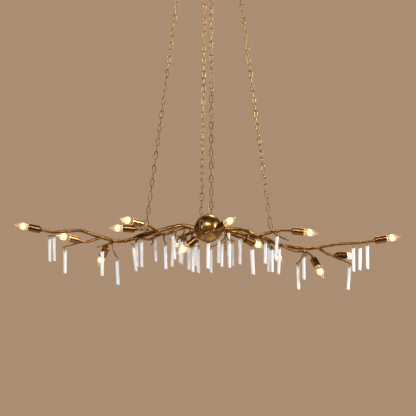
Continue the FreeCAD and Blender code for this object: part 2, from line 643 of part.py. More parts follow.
def canopy_loop():
    """The stem, the collar that carries the canopy, and the ring that the chandelier hangs from."""
    stem = cylinder(V(0, 0, COLLAR_BOTTOM), UP, STEM_RADIUS, -COLLAR_BOTTOM)
    collar = cylinder(V(0, 0, COLLAR_BOTTOM), UP, COLLAR_RADIUS, COLLAR_HEIGHT)
    collar = collar.makeFillet(COLLAR_ROUND, [collar.Edges[2]])
    ring = Part.makeTorus(RING_CENTRE_RADIUS, RING_WIRE / 2, RING_CENTRE, ACROSS)
    return fixed(stem.fuse(collar).removeSplitter().fuse(ring).Solids[0])


def master_link():
    """An oblong link: a half round at the top and a straight bar with tight corners below."""
    half = MASTER_INNER_WIDTH / 2 + MASTER_WIRE / 2
    top = MASTER_TOP + MASTER_WIRE / 2
    shoulder = top - half
    bottom = MASTER_BAR.z
    bend = MASTER_CORNER
    turn = bend * math.cos(math.pi / 4)

    def corner(side):
        centre = V(side * (half - bend), 0, bottom + bend)
        return centre + V(side * turn, 0, -turn)

    path = [
        Part.LineSegment(V(-half, 0, bottom + bend), V(-half, 0, shoulder)).toShape(),
        Part.Arc(V(-half, 0, shoulder), V(0, 0, top), V(half, 0, shoulder)).toShape(),
        Part.LineSegment(V(half, 0, shoulder), V(half, 0, bottom + bend)).toShape(),
        Part.Arc(V(half, 0, bottom + bend), corner(1), V(half - bend, 0, bottom)).toShape(),
        Part.LineSegment(V(half - bend, 0, bottom), V(bend - half, 0, bottom)).toShape(),
        Part.Arc(V(bend - half, 0, bottom), corner(-1), V(-half, 0, bottom + bend)).toShape(),
    ]
    return wire_part(path, MASTER_WIRE / 2)


def eye_place(limb_name, x_share):
    """A chain eye's centre, standing on top of its limb."""
    centre, _, radius = limbs[limb_name].seat(x_share)
    return centre + UP * (radius + EYE_INNER_RADIUS + EYE_WIRE - EYE_SINK)


def lead(points):
    """A round lead along straight runs joined by arcs as large as the runs allow."""
    corners = [V(*point) for point in points]
    path = []
    start = corners[0]
    for before, corner, after in zip(corners, corners[1:], corners[2:]):
        back = before - corner
        ahead = after - corner
        half_turn = (math.pi - back.getAngle(ahead)) / 2
        run = CORD_BEND_SHARE * min(back.Length, ahead.Length)
        radius = run / math.tan(half_turn)
        inward = (back.normalize() + ahead.normalize()).normalize()
        arc_start = corner + back * run
        arc_end = corner + ahead * run
        arc_middle = corner + inward * (math.hypot(radius, run) - radius)
        path.append(Part.LineSegment(start, arc_start).toShape())
        path.append(Part.Arc(arc_start, arc_middle, arc_end).toShape())
        print("lead bend radius", round(radius))
        start = arc_end
    path.append(Part.LineSegment(start, corners[-1]).toShape())
    profile = Part.Wire(Part.Circle(corners[0], corners[1] - corners[0], CORD_DIAMETER / 2).toShape())
    sweep = Part.BRepOffsetAPI.MakePipeShell(Part.Wire(path))
    sweep.add(profile)
    sweep.build()
    sweep.makeSolid()
    tube = fixed(sweep.shape())
    length = sum(edge.Length for edge in path)
    plain = math.pi * CORD_DIAMETER ** 2 / 4 * length
    print("lead length", round(length), "volume over section times length", round(tube.Volume / plain, 4))
    return tube


# Each chain: its limb, its eye's place across, and its place along the master link's bar in steps
CHAINS = {
    "chain_left": ("left_leader", -0.3125, -1.5),
    "chain_right": ("right_arc", 0.3145, 1.5),
    "chain_front": ("front_crossing", -0.034, -0.5),
    "chain_back": ("back_crossing", 0.014, 0.5),
}
BRANCH_EYES = {
    "left_branch": "chain_left",
    "right_branch": "chain_right",
    "front_branch": "chain_front",
    "back_branch": "chain_back",
}


LONG_START_CHAINS = ["chain_front", "chain_right"]


def chain(name):
    """Closed links from the master link down to the hook link in the limb's eye.

    Every other chain starts with a long link, so that neighbours turn their flat sides at different heights.
    """
    limb_name, x_share, steps = CHAINS[name]
    start = MASTER_BAR + ACROSS * (steps * TOP_LINK_STEP)
    eye = eye_place(limb_name, x_share)
    way = (eye - start).normalize()
    side = BACK.cross(way).normalize()
    depth = way.cross(side)
    first = -MASTER_WIRE / 2 - LINK_PLAY
    reach = (eye - start).Length - EYE_INNER_RADIUS
    run = reach - first - HOOK_INNER_LENGTH + LINK_PLAY
    starts_long = name in LONG_START_CHAINS
    count = math.ceil(run / (LINK_PITCH - CHAIN_PLAY))
    if (count % 2 == 0) != starts_long:
        count += 1
    spacing = run / count
    link = long_link(LINK_PITCH, LINK_INNER_WIDTH, LINK_WIRE)
    pieces = []
    if starts_long:
        long_length = LINK_PITCH + spacing
        top_link = long_link(long_length, LINK_INNER_WIDTH, LINK_WIRE)
        pieces.append(turned(top_link, depth, -way, start + way * (first + long_length / 2)))
    for step in range(2 * starts_long, count):
        middle = start + way * (first + step * spacing + LINK_PITCH / 2)
        edge_on = (step % 2 == 0) != starts_long
        pieces.append(turned(link, depth if edge_on else side, -way, middle))
    hook = long_link(HOOK_INNER_LENGTH, HOOK_INNER_WIDTH, HOOK_WIRE)
    middle = start + way * (first + run + HOOK_INNER_LENGTH / 2)
    pieces.append(turned(hook, side, -way, middle))
    print(name, "links", count, "play", round(LINK_PITCH - spacing, 2))
    return Part.makeCompound(pieces)


def chain_eye(name):
    """The ring welded on top of the limb, flat way along the view."""
    limb_name, x_share, _ = CHAINS[name]
    eye = eye_place(limb_name, x_share)
    return Part.makeTorus(EYE_INNER_RADIUS + EYE_WIRE / 2, EYE_WIRE / 2, eye, ACROSS)


def tendril():
    """A corkscrew of wire that hangs from the twig before the hub."""
    line = Part.makeHelix(TENDRIL_PITCH, TENDRIL_PITCH * TENDRIL_TURNS, TENDRIL_RADIUS)
    edge = line.Edges[0]
    start = edge.valueAt(edge.FirstParameter)
    heading = edge.tangentAt(edge.FirstParameter)
    profile = Part.Wire(Part.Circle(start, heading, TENDRIL_WIRE / 2).toShape())
    sweep = Part.BRepOffsetAPI.MakePipeShell(Part.Wire(line.Edges))
    sweep.setFrenetMode(True)
    sweep.add(profile)
    sweep.build()
    sweep.makeSolid()
    return turned(fixed(sweep.shape()), ACROSS, DOWN, place(TENDRIL_TOP_SHARES))



def branch(name):
    """One weldment: its limbs fused, its chain eye on top, and its roots cut back to the hub's core."""
    core = cylinder(HUB - UP * CORE_HEIGHT, UP, CORE_RADIUS, 2 * CORE_HEIGHT)
    pieces = []
    for limb in BRANCHES[name]:
        piece = limbs[limb].solid()
        pieces.append(fixed(piece.cut(core).Solids[0]) if limb in ROOT_LIMBS else piece)
    pieces.append(chain_eye(BRANCH_EYES[name]))
    if name == "right_branch":
        pieces.append(tendril())
    whole = pieces[0]
    for number, piece in enumerate(pieces[1:], 1):
        joined = whole.fuse(piece)
        gained = (joined.Volume - whole.Volume) / piece.Volume
        if not WELD_LEAST_SHARE < gained < 1:
            print(name, "piece", number, "adds only", round(gained, 2), "of its volume")
        whole = joined
    print(name, "solids", len(whole.Solids))
    return fixed(whole.Solids[0])


def hub_roots():
    """The stretch of each root limb that passes through the ball, with clearance."""
    roots = []
    for limb_name in ROOT_LIMBS:
        limb = limbs[limb_name]
        centre, heading = limb.station(HUB_RADIUS - CORE_RADIUS)
        radius = limb.radius_at(HUB_RADIUS - CORE_RADIUS) + ROOT_CLEARANCE
        roots.append(cylinder(centre - heading * ROOT_HOLE_REACH, heading, radius, 2 * ROOT_HOLE_REACH))
    return roots


def hub_shell(side):
    """One half of the ball, with a hole at its pole and half holes at its rim for the limbs."""
    outer = Part.makeSphere(HUB_RADIUS, HUB)
    inner = Part.makeSphere(HUB_RADIUS - HUB_WALL, HUB)
    corner = HUB - V(HUB_RADIUS, HUB_RADIUS, 0) - ACROSS * CUT_OVERRUN - BACK * CUT_OVERRUN
    size = 2 * (HUB_RADIUS + CUT_OVERRUN)
    keep = Part.makeBox(size, size, HUB_RADIUS + CUT_OVERRUN, corner)
    if side < 0:
        keep.translate(DOWN * (HUB_RADIUS + CUT_OVERRUN))
    pole = cylinder(HUB, UP * side, SPINDLE_RADIUS + SPINDLE_CLEARANCE, HUB_RADIUS + CUT_OVERRUN)
    half = outer.cut(inner).common(keep)
    return fixed(half.cut([pole] + hub_roots()).Solids[0])


def hub_spindle():
    """The hollow rod with its core and the end nuts that clamp the two halves."""
    pole = math.sqrt(HUB_RADIUS ** 2 - END_NUT_RADIUS ** 2)
    top = HUB + UP * (pole + END_NUT_HEIGHT)
    bottom = HUB + DOWN * (pole + FINIAL_HEIGHT)
    rod = cylinder(bottom, UP, SPINDLE_RADIUS, (top - bottom).Length)
    core = cylinder(HUB - UP * (CORE_HEIGHT / 2), UP, CORE_RADIUS, CORE_HEIGHT)
    cap = Part.makeCone(END_NUT_RADIUS, END_NUT_RADIUS * END_NUT_TOP_SHARE, END_NUT_HEIGHT, HUB + UP * pole, UP)
    finial = Part.makeCone(END_NUT_RADIUS, SPINDLE_RADIUS, FINIAL_HEIGHT, HUB + DOWN * pole, DOWN)
    ball = Part.makeSphere(HUB_RADIUS, HUB)
    nuts = cap.fuse(finial).cut(ball)
    whole = rod.fuse([core] + nuts.Solids)
    bore = cylinder(top + UP * CUT_OVERRUN, DOWN, SPINDLE_BORE_RADIUS, pole + CUT_OVERRUN)
    return fixed(whole.cut(bore).removeSplitter())


def spun(outline, origin, heading):
    """A profile of radius and height points turned into a solid along a heading."""
    wire = Part.makePolygon([V(radius, 0, height) for radius, height in outline])
    solid = fixed(Part.Face(wire).revolve(V(0, 0, 0), UP, 360))
    side = heading.cross(UP)
    side = (side if side.Length > SIDEWAYS_SHARE else heading.cross(ACROSS)).normalize()
    return turned(solid, side, heading, origin)


def lamp_cup(origin, heading):
    """A plain round cup, closed at the back where the arm meets it."""
    cup = cylinder(V(0, 0, 0), UP, CUP_RADIUS, CUP_LENGTH)
    back = [edge for edge in cup.Edges if edge.BoundBox.ZMax < CUP_LENGTH / 2]
    cup = cup.makeFillet(CUP_BACK_ROUND, back)
    hollow = cylinder(V(0, 0, CUP_WALL), UP, CUP_RADIUS - CUP_WALL, CUP_LENGTH)
    inside = [edge for edge in hollow.Edges if edge.BoundBox.ZMax < CUP_LENGTH / 2]
    hollow = hollow.makeFillet(CUP_BACK_ROUND - CUP_WALL, inside)
    side = heading.cross(UP).normalize()
    return turned(fixed(cup.cut(hollow)), side, heading, origin)


def lampholder(origin, heading):
    """The insulating tube that the bulb screws into, standing on the cup's floor."""
    bore = BASE_RADIUS + BASE_CLEARANCE
    outline = [
        (0, CUP_WALL), (HOLDER_RADIUS - CUP_BACK_ROUND / 2, CUP_WALL), (HOLDER_RADIUS, CUP_WALL + CUP_BACK_ROUND),
        (HOLDER_RADIUS, CUP_WALL + HOLDER_LENGTH), (bore, CUP_WALL + HOLDER_LENGTH),
        (bore, CUP_WALL + HOLDER_FLOOR), (0, CUP_WALL + HOLDER_FLOOR), (0, CUP_WALL),
    ]
    return spun(outline, origin, heading)


def bulb_base(origin, heading):
    """The screw base, seated on the lampholder's floor."""
    foot = CUP_WALL + HOLDER_FLOOR
    tip_radius = BASE_RADIUS * BASE_TIP_SHARE
    outline = [
        (0, foot), (tip_radius, foot), (BASE_RADIUS, foot + BASE_RADIUS / 2),
        (BASE_RADIUS, foot + BASE_LENGTH), (0, foot + BASE_LENGTH), (0, foot),
    ]
    return spun(outline, origin, heading)


# The bulb's outline, as shares of its length and of its widest radius
BULB_SHARES = [
    (0.00, 0.40), (0.06, 0.40), (0.12, 0.44), (0.20, 0.62), (0.32, 0.90), (0.44, 1.00), (0.56, 0.95), (0.68, 0.76),
    (0.80, 0.47), (0.90, 0.24), (0.97, 0.10),
]


def bulb_glass(origin, heading):
    """A clear flame-shaped envelope that stands on the base."""
    foot = CUP_WALL + HOLDER_FLOOR + BASE_LENGTH
    points = [V(BULB_RADIUS * wide, 0, foot + BULB_LENGTH * up) for up, wide in BULB_SHARES]
    points.append(V(0, 0, foot + BULB_LENGTH))
    line = Part.BSplineCurve()
    line.interpolate(points)
    edges = [
        line.toShape(),
        Part.LineSegment(points[-1], V(0, 0, foot)).toShape(),
        Part.LineSegment(V(0, 0, foot), points[0]).toShape(),
    ]
    solid = fixed(Part.Face(Part.Wire(edges)).revolve(V(0, 0, 0), UP, 360))
    return turned(solid, heading.cross(UP).normalize(), heading, origin)


def hanger(limb_radius, rise, hole):
    """The wire loop over the limb and through the stick, in its own plane, from the limb's centre."""
    half = max(limb_radius, STICK_DEPTH / 2) + HANGER_PLAY + HANGER_WIRE / 2
    top = rise + LINK_PLAY + HANGER_WIRE / 2
    shoulder = top - half
    bend = HANGER_CORNER
    turn = bend * math.cos(math.pi / 4)

    def corner(side):
        return V(0, side * (half - bend + turn), hole + bend - turn)

    path = [
        Part.LineSegment(V(0, -half, hole + bend), V(0, -half, shoulder)).toShape(),
        Part.Arc(V(0, -half, shoulder), V(0, 0, top), V(0, half, shoulder)).toShape(),
        Part.LineSegment(V(0, half, shoulder), V(0, half, hole + bend)).toShape(),
        Part.Arc(V(0, half, hole + bend), corner(1), V(0, half - bend, hole)).toShape(),
        Part.LineSegment(V(0, half - bend, hole), V(0, bend - half, hole)).toShape(),
        Part.Arc(V(0, bend - half, hole), corner(-1), V(0, -half, hole + bend)).toShape(),
    ]
    return wire_part(path, HANGER_WIRE / 2)


def crystal(length, width, lean, hole):
    """A flat-sided stick with slanted broken ends and a hole for the wire, leaning about that hole."""
    def outline(height, size_share, slant):
        corners = [
            V(x_share * width * size_share, y_share * STICK_DEPTH * size_share,
              height + x_share * width * slant)
            for x_share, y_share in STICK_OUTLINE_SHARES
        ]
        return Part.makePolygon(corners + corners[:1])

    top = outline(HOLE_DEPTH, 1, STICK_SLANT_SHARE)
    foot = outline(HOLE_DEPTH - length, STICK_FOOT_SHARE, -STICK_SLANT_SHARE)
    stick = fixed(Part.makeLoft([foot, top], True, True))
    bore_start = V(0, -STICK_DEPTH / 2 - CUT_OVERRUN, 0)
    bore = cylinder(bore_start, BACK, HANGER_WIRE / 2 + HOLE_CLEARANCE, STICK_DEPTH + 2 * CUT_OVERRUN)
    stick = fixed(stick.cut(bore))
    stick.rotate(V(0, 0, 0), BACK, lean)
    stick.translate(V(0, 0, hole))
    return stick


def hung_stick(row):
    """A stick with its wire loop, hung over its limb, and the pivot that it swings about."""
    limb_name, x_share, drop_share, length_share, width_share, lean, swing = row
    centre, heading, radius = limbs[limb_name].seat(x_share)
    level = V(heading.x, heading.y, 0)
    slope = abs(heading.z) / level.Length
    across = level.normalize() if level.x >= 0 else level.normalize() * -1
    rise = radius * math.hypot(1, slope) + HANGER_WIRE / 2 * slope
    hole = -HANGER_DROP * drop_share - HOLE_DEPTH
    loop = hanger(radius, rise, hole)
    stick = crystal(STICK_LENGTH * length_share, STICK_WIDTH * width_share, lean, hole)
    pair = [turned(piece, across, UP, centre) for piece in (loop, stick)]
    return Part.makeCompound(pair), centre, across, swing


def save(name, shape):
    solids[name] = shape
    shape.exportStep(f"parts/{name}.step")


os.makedirs("parts", exist_ok=True)
save("canopy", canopy())
save("ceiling_bracket", ceiling_bracket())
save("lock_nut", lock_nut())
save("canopy_loop", canopy_loop())
save("master_link", master_link())
for name in CHAINS:
    save(name, chain(name))
save("supply_cord", lead(CORD_POINTS))
save("cord_tail", lead(TAIL_POINTS))
save("hub_upper_shell", hub_shell(1))
save("hub_lower_shell", hub_shell(-1))
save("hub_spindle", hub_spindle())
for name in BRANCHES:
    save(name, branch(name))
lamp_ends = [limbs[limb].end(which) for limb, which in LAMPS]
save("lamp_cups", Part.makeCompound([lamp_cup(*end) for end in lamp_ends]))
save("lampholders", Part.makeCompound([lampholder(*end) for end in lamp_ends]))
save("bulb_bases", Part.makeCompound([bulb_base(*end) for end in lamp_ends]))
save("bulb_glass", Part.makeCompound([bulb_glass(*end) for end in lamp_ends]))
for number, row in enumerate(STICK_SHARES, 1):
    shape, centre, across, swing = hung_stick(row)
    pivots[f"stick_{number:02d}"] = (centre, across, swing)
    save(f"stick_{number:02d}", shape)
for name, shape in solids.items():
    print(name, "solids", len(shape.Solids), "volume", round(shape.Volume))
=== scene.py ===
# %% [markdown]
# # Dressing a branch chandelier
#
# The chandelier is a long tangle of gilded twigs. It hangs on four chains and carries candle lamps
# and pale crystal sticks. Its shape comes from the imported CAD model, so this lesson starts by
# loading that model. Everything after it is about looks: camera, lead, metal, lamps, crystals and
# light.

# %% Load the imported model
import json
import math

import bpy
import bmesh
from mathutils import Matrix, Vector

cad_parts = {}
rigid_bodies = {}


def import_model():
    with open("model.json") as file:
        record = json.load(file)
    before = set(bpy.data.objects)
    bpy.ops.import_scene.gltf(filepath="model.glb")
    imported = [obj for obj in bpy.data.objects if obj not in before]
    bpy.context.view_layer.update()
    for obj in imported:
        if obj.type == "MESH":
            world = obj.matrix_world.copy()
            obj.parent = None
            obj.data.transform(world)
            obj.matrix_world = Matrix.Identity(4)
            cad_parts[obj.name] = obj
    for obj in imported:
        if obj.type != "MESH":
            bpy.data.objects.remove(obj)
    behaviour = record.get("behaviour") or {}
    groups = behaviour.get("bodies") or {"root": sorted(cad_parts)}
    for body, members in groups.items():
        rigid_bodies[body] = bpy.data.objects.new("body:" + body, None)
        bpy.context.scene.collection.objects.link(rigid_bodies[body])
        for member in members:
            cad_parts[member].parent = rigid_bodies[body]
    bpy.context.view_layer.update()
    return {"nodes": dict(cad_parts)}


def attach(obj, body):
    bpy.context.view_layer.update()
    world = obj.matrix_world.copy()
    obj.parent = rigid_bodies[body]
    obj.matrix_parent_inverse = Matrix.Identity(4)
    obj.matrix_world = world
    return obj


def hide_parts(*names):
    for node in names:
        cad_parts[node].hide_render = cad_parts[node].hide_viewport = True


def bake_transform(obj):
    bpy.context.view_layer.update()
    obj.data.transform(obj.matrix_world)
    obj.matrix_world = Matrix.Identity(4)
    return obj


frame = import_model()
nodes = frame["nodes"]

# %% [markdown]
# ## Camera
#
# The photograph is taken from far away, level with the branches, which keeps the twigs flat and
# long. A long lens at seven metres gives the same view. Its focal length follows from the width that
# the picture covers.

# %% Place the camera
HUB = Vector((-0.00405, -0.00072, -1.9456))
CAMERA_DISTANCE = 7.0
CAMERA_SHIFT = -0.0013
CAMERA_RISE = 0.086
VIEW_WIDTH = 1.747
SENSOR_WIDTH = 36.0


def link(obj):
    """Puts a new object into the scene."""
    bpy.context.scene.collection.objects.link(obj)
    return obj


camera_data = bpy.data.cameras.new("photo_view")
camera_data.sensor_width = SENSOR_WIDTH
camera_data.lens = SENSOR_WIDTH * CAMERA_DISTANCE / VIEW_WIDTH
camera = link(bpy.data.objects.new("photo_view", camera_data))
camera.location = (HUB.x + CAMERA_SHIFT, -CAMERA_DISTANCE, HUB.z + CAMERA_RISE)
camera.rotation_euler = (math.radians(90), 0, 0)
bpy.context.scene.camera = camera
print("lens", round(camera_data.lens, 1), "mm")

# %% [markdown]
# ## The clear supply lead
#
# A thin clear lead feeds the lamps. It leaves the rod at the top of the ball, climbs beside the back
# chain and goes into the canopy. A NURBS curve is the natural way to draw it, because its line stays
# smooth between a few control points. The points are the same as those of the CAD lead.

# %% Draw the lead
CORD_DIAMETER = 0.0044
CORD_POINTS = [
    (-0.004, -0.0007, -1.892), (-0.004, -0.0007, -1.852), (0.005, 0.029, -1.802),
    (0.016, 0.063, -1.752), (0.021, 0.090, -1.690), (0.005, 0.029, -0.300),
    (0.007, 0.022, -0.210), (0.009, 0.016, -0.160), (0.010, 0.014, -0.114),
]
TAIL_POINTS = [(0.010, 0.014, -0.111), (0.0125, 0.014, -0.078), (0.0125, 0.014, -0.012)]
LINE_ORDER = 3


def draw_wire(name, points, radius, round_steps=3, line_steps=12):
    """Draws a round wire on a smooth line with these control points."""
    curve = bpy.data.curves.new(name, "CURVE")
    curve.dimensions = "3D"
    curve.bevel_depth = radius
    curve.bevel_resolution = round_steps
    curve.resolution_u = line_steps
    curve.use_fill_caps = True
    spline = curve.splines.new("NURBS")
    spline.points.add(len(points) - 1)
    for point, place in zip(spline.points, points):
        point.co = (*place, 1)
    spline.order_u = LINE_ORDER
    spline.use_endpoint_u = True
    return link(bpy.data.objects.new(name, curve))


supply_lead = draw_wire("supply_lead", CORD_POINTS, CORD_DIAMETER / 2)
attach(supply_lead, "chandelier")
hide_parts("supply_cord")
print("lead drawn with", len(CORD_POINTS), "control points")

# %% [markdown]
# The upper lead runs between the ceiling and the ring, and bends over its whole length when the ring
# swings. Its curve is turned into a mesh tube, and a line without thickness is also taken from the
# curve and then removed.

# %% Turn the upper lead into a tube
tail_curve = draw_wire("tail_curve", TAIL_POINTS, CORD_DIAMETER / 2)
tail_tube = bpy.data.meshes.new_from_object(tail_curve)
tail_curve.data.bevel_depth = 0
tail_line = bpy.data.meshes.new_from_object(tail_curve)
bpy.data.meshes.remove(tail_line)
bpy.data.objects.remove(tail_curve)

lead_tail = link(bpy.data.objects.new("lead_tail", tail_tube))
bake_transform(lead_tail)
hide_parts("cord_tail")

# %% [markdown]
# ## Helpers for meshes
#
# Operators act on whatever is selected, so each step first says what it works on. A finished piece
# keeps its place in its mesh, and its object stays at the origin.


# %% Pick and settle a piece
def pick(*objects):
    """Selects only these objects and makes the last one active."""
    for other in bpy.context.view_layer.objects:
        other.select_set(False)
    for obj in objects:
        obj.select_set(True)
        bpy.context.view_layer.objects.active = obj


def settle(obj, name):
    """Names a piece and moves its place into its mesh."""
    obj.name = name
    obj.data.name = name
    pick(obj)
    bpy.ops.object.transform_apply(location=True, rotation=True, scale=True)
    return obj


# %% [markdown]
# More helpers work on the mesh itself. One opens it with everything selected, and one closes it. One
# rounds its sharp edges, because no real edge is perfectly sharp, and a round edge catches light. The
# last shades gentle turns smooth and leaves the others crisp.


# %% Open a mesh, round its edges and smooth it
def open_mesh():
    """Opens the active piece's mesh with all of it selected."""
    bpy.ops.object.mode_set(mode="EDIT")
    bpy.ops.mesh.select_all(action="SELECT")


def close_mesh():
    """Leaves the mesh of the active piece."""
    bpy.ops.object.mode_set(mode="OBJECT")


def round_edges(obj, width, segments, degrees=30.0):
    """Rounds the edges of a piece that turn by more than some degrees."""
    pick(obj)
    bevel = obj.modifiers.new("rounded edges", "BEVEL")
    bevel.width = width
    bevel.segments = segments
    bevel.limit_method = "ANGLE"
    bevel.angle_limit = math.radians(degrees)
    bpy.ops.object.modifier_apply(modifier=bevel.name)


def smooth_under(degrees):
    """Shades the active piece smooth where it turns by less than some degrees."""
    bpy.ops.object.shade_smooth_by_angle(angle=math.radians(degrees))


# %% [markdown]
# ## Sleeve and bushing
#
# A short sleeve covers the place where the two leads meet, beside the hanging ring, between the ring
# above and the chandelier below.

# %% Make the sleeve
SLEEVE_RADIUS = 0.0031
SLEEVE_LENGTH = 0.022
SLEEVE_MIDDLE = (0.0102, 0.014, -0.1125)
SLEEVE_EDGE = 0.0008

bpy.ops.mesh.primitive_cylinder_add(
    vertices=24, radius=SLEEVE_RADIUS, depth=SLEEVE_LENGTH, location=SLEEVE_MIDDLE
)
sleeve = bpy.context.object
open_mesh()
bpy.ops.mesh.subdivide(number_cuts=1)
close_mesh()
round_edges(sleeve, SLEEVE_EDGE, 3)
smooth_under(40)
settle(sleeve, "lead_sleeve")
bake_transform(sleeve)
print("sleeve corners", len(sleeve.data.vertices))

# %% [markdown]
# A soft bushing lines the canopy's hole, so that the thin shell can't cut the lead.

BUSHING_MIDDLE = (0.0125, 0.014, -0.0302)
BUSHING_RADIUS = 0.0036
BUSHING_THICKNESS = 0.0011

bpy.ops.mesh.primitive_torus_add(
    major_segments=32, minor_segments=12, major_radius=BUSHING_RADIUS,
    minor_radius=BUSHING_THICKNESS, location=BUSHING_MIDDLE
)
canopy_bushing = bpy.context.object
bpy.ops.object.shade_smooth()
settle(canopy_bushing, "canopy_bushing")
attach(canopy_bushing, "ceiling")
print("bushing corners", len(canopy_bushing.data.vertices))

# %% [markdown]
# ## Nodes in a few words
#
# Every finish below uses the same few nodes: noise, a range that is stretched to another range, a mix
# of two colours and a sum or product. Each gets a short function, so that a finish reads as a recipe.

# %% Noise and ranges
def set_inputs(node, values):
    """Gives sockets their values, and colours their fourth number."""
    for label, value in values.items():
        socket = node.inputs[label]
        socket.default_value = (*value, 1) if socket.type == "RGBA" else value


def noise(tree, vector, scale, detail=3.0, rough=0.55):
    """Noise whose spots are about one over the scale, in metres."""
    node = tree.nodes.new("ShaderNodeTexNoise")
    set_inputs(node, {"Scale": scale, "Detail": detail, "Roughness": rough})
    tree.links.new(vector, node.inputs["Vector"])
    return node.outputs["Fac"]


def spread(tree, value, low, high, out_low=0.0, out_high=1.0):
    """Stretches the range from low to high over another range."""
    node = tree.nodes.new("ShaderNodeMapRange")
    set_inputs(node, {"From Min": low, "From Max": high, "To Min": out_low, "To Max": out_high})
    tree.links.new(value, node.inputs["Value"])
    return node.outputs["Result"]


# %% [markdown]
# A mix node holds sockets for numbers, vectors and colours under the same names, so its colour
# sockets are reached by their places in the list.

# %% Mixes and sums
MIX_FIRST, MIX_SECOND, MIX_RESULT = 6, 7, 2


def feed(tree, value, socket, plain):
    """Links a socket's value, or sets its plain form where it isn't a socket."""
    if hasattr(value, "links"):
        tree.links.new(value, socket)
    else:
        socket.default_value = plain(value)


def blend_colours(tree, share, first, second):
    """Mixes two colours, each a socket or three numbers."""
    node = tree.nodes.new("ShaderNodeMix")
    node.data_type = "RGBA"
    tree.links.new(share, node.inputs["Factor"])
    feed(tree, first, node.inputs[MIX_FIRST], lambda colour: (*colour, 1))
    feed(tree, second, node.inputs[MIX_SECOND], lambda colour: (*colour, 1))
    return node.outputs[MIX_RESULT]


def combine(tree, operation, first, second):
    """Does one sum on two values, each a socket or a number."""
    node = tree.nodes.new("ShaderNodeMath")
    node.operation = operation
    feed(tree, first, node.inputs[0], float)
    feed(tree, second, node.inputs[1], float)
    return node.outputs[0]


# %% [markdown]
# ## Shared effects
#
# Old gilding is never one colour. It is dark where polish can't reach, warm in between and bright
# where hands and cloths rub it. Several finishes here need that, so it is built once as a node group
# with its own inputs. The same goes for the soft dents of hammered metal and for the fine fibres
# inside the crystal.


# %% Start a node group
def new_group(name, inputs, outputs):
    """A node group with its sockets, and its two end nodes."""
    group = bpy.data.node_groups.new(name, "ShaderNodeTree")
    for kind, label, value in inputs:
        socket = group.interface.new_socket(label, in_out="INPUT", socket_type=kind)
        if value is not None:
            socket.default_value = value
    for kind, label in outputs:
        group.interface.new_socket(label, in_out="OUTPUT", socket_type=kind)
    return group, group.nodes.new("NodeGroupInput"), group.nodes.new("NodeGroupOutput")


# %% [markdown]
# The aged metal mixes its body colour with dark patches about thirty millimetres wide and with rubbed
# scuffs about ten wide. A finer grain changes its roughness from place to place.

# %% Aged metal: dark hollows, warm body, rubbed highlights
NOISE_RANGE = (0.3, 0.7)
PATCH_RANGE = (0.62, 0.36)
SCUFF_RANGE = (0.50, 0.68)
AGED_ROUGHNESS = (0.23, 0.36)
GRAIN_HEIGHT = 0.4

aged, aged_in, aged_out = new_group(
    "Aged metal",
    [
        ("NodeSocketVector", "Vector", None),
        ("NodeSocketColor", "Body", (0.4, 0.2, 0.06, 1)),
        ("NodeSocketColor", "Dark", (0.05, 0.02, 0.008, 1)),
        ("NodeSocketColor", "Rubbed", (0.9, 0.6, 0.25, 1)),
        ("NodeSocketFloat", "Darkness", 0.5),
        ("NodeSocketFloat", "Rubbing", 0.5),
    ],
    [("NodeSocketColor", "Color"), ("NodeSocketFloat", "Roughness"), ("NodeSocketFloat", "Height")],
)
given = aged_in.outputs
patches = noise(aged, given["Vector"], scale=34.0, detail=4.0, rough=0.6)
grain = noise(aged, given["Vector"], scale=210.0, detail=4.0, rough=0.6)
scuffs = noise(aged, given["Vector"], scale=90.0, detail=5.0, rough=0.7)
dark_share = combine(aged, "MULTIPLY", spread(aged, patches, *PATCH_RANGE), given["Darkness"])
rub_share = combine(aged, "MULTIPLY", spread(aged, scuffs, *SCUFF_RANGE), given["Rubbing"])
aged_colour = blend_colours(aged, dark_share, given["Body"], given["Dark"])
worn_colour = blend_colours(aged, rub_share, aged_colour, given["Rubbed"])
aged_roughness = spread(aged, grain, *NOISE_RANGE, *AGED_ROUGHNESS)
aged_height = combine(aged, "ADD", combine(aged, "MULTIPLY", grain, GRAIN_HEIGHT), scuffs)
aged.links.new(worn_colour, aged_out.inputs["Color"])
aged.links.new(aged_roughness, aged_out.inputs["Roughness"])
aged.links.new(aged_height, aged_out.inputs["Height"])
print("aged metal nodes", len(aged.nodes))

# %% [markdown]
# A planishing hammer leaves shallow round dents that touch each other. Smooth Voronoi cells have just
# that form: low in the middle and raised where two cells meet.

# %% Hammered dents
hammered, hammered_in, hammered_out = new_group(
    "Hammered dents",
    [("NodeSocketVector", "Vector", None), ("NodeSocketFloat", "Scale", 90.0)],
    [("NodeSocketFloat", "Height")],
)
cells = hammered.nodes.new("ShaderNodeTexVoronoi")
cells.feature = "SMOOTH_F1"
cells.inputs["Smoothness"].default_value = 0.5
hammered.links.new(hammered_in.outputs["Vector"], cells.inputs["Vector"])
hammered.links.new(hammered_in.outputs["Scale"], cells.inputs["Scale"])
hammered.links.new(cells.outputs["Distance"], hammered_out.inputs["Height"])
print("hammered dents nodes", len(hammered.nodes))

# %% [markdown]
# The crystal's fibres run along the stick. The same noise does for them once its space is squeezed
# along the height, which draws every spot out into a streak.

# %% Upright crystal fibres
FIBRE_STRETCH = (1.0, 1.0, 0.05)
CLOUD_HEIGHT = 0.6

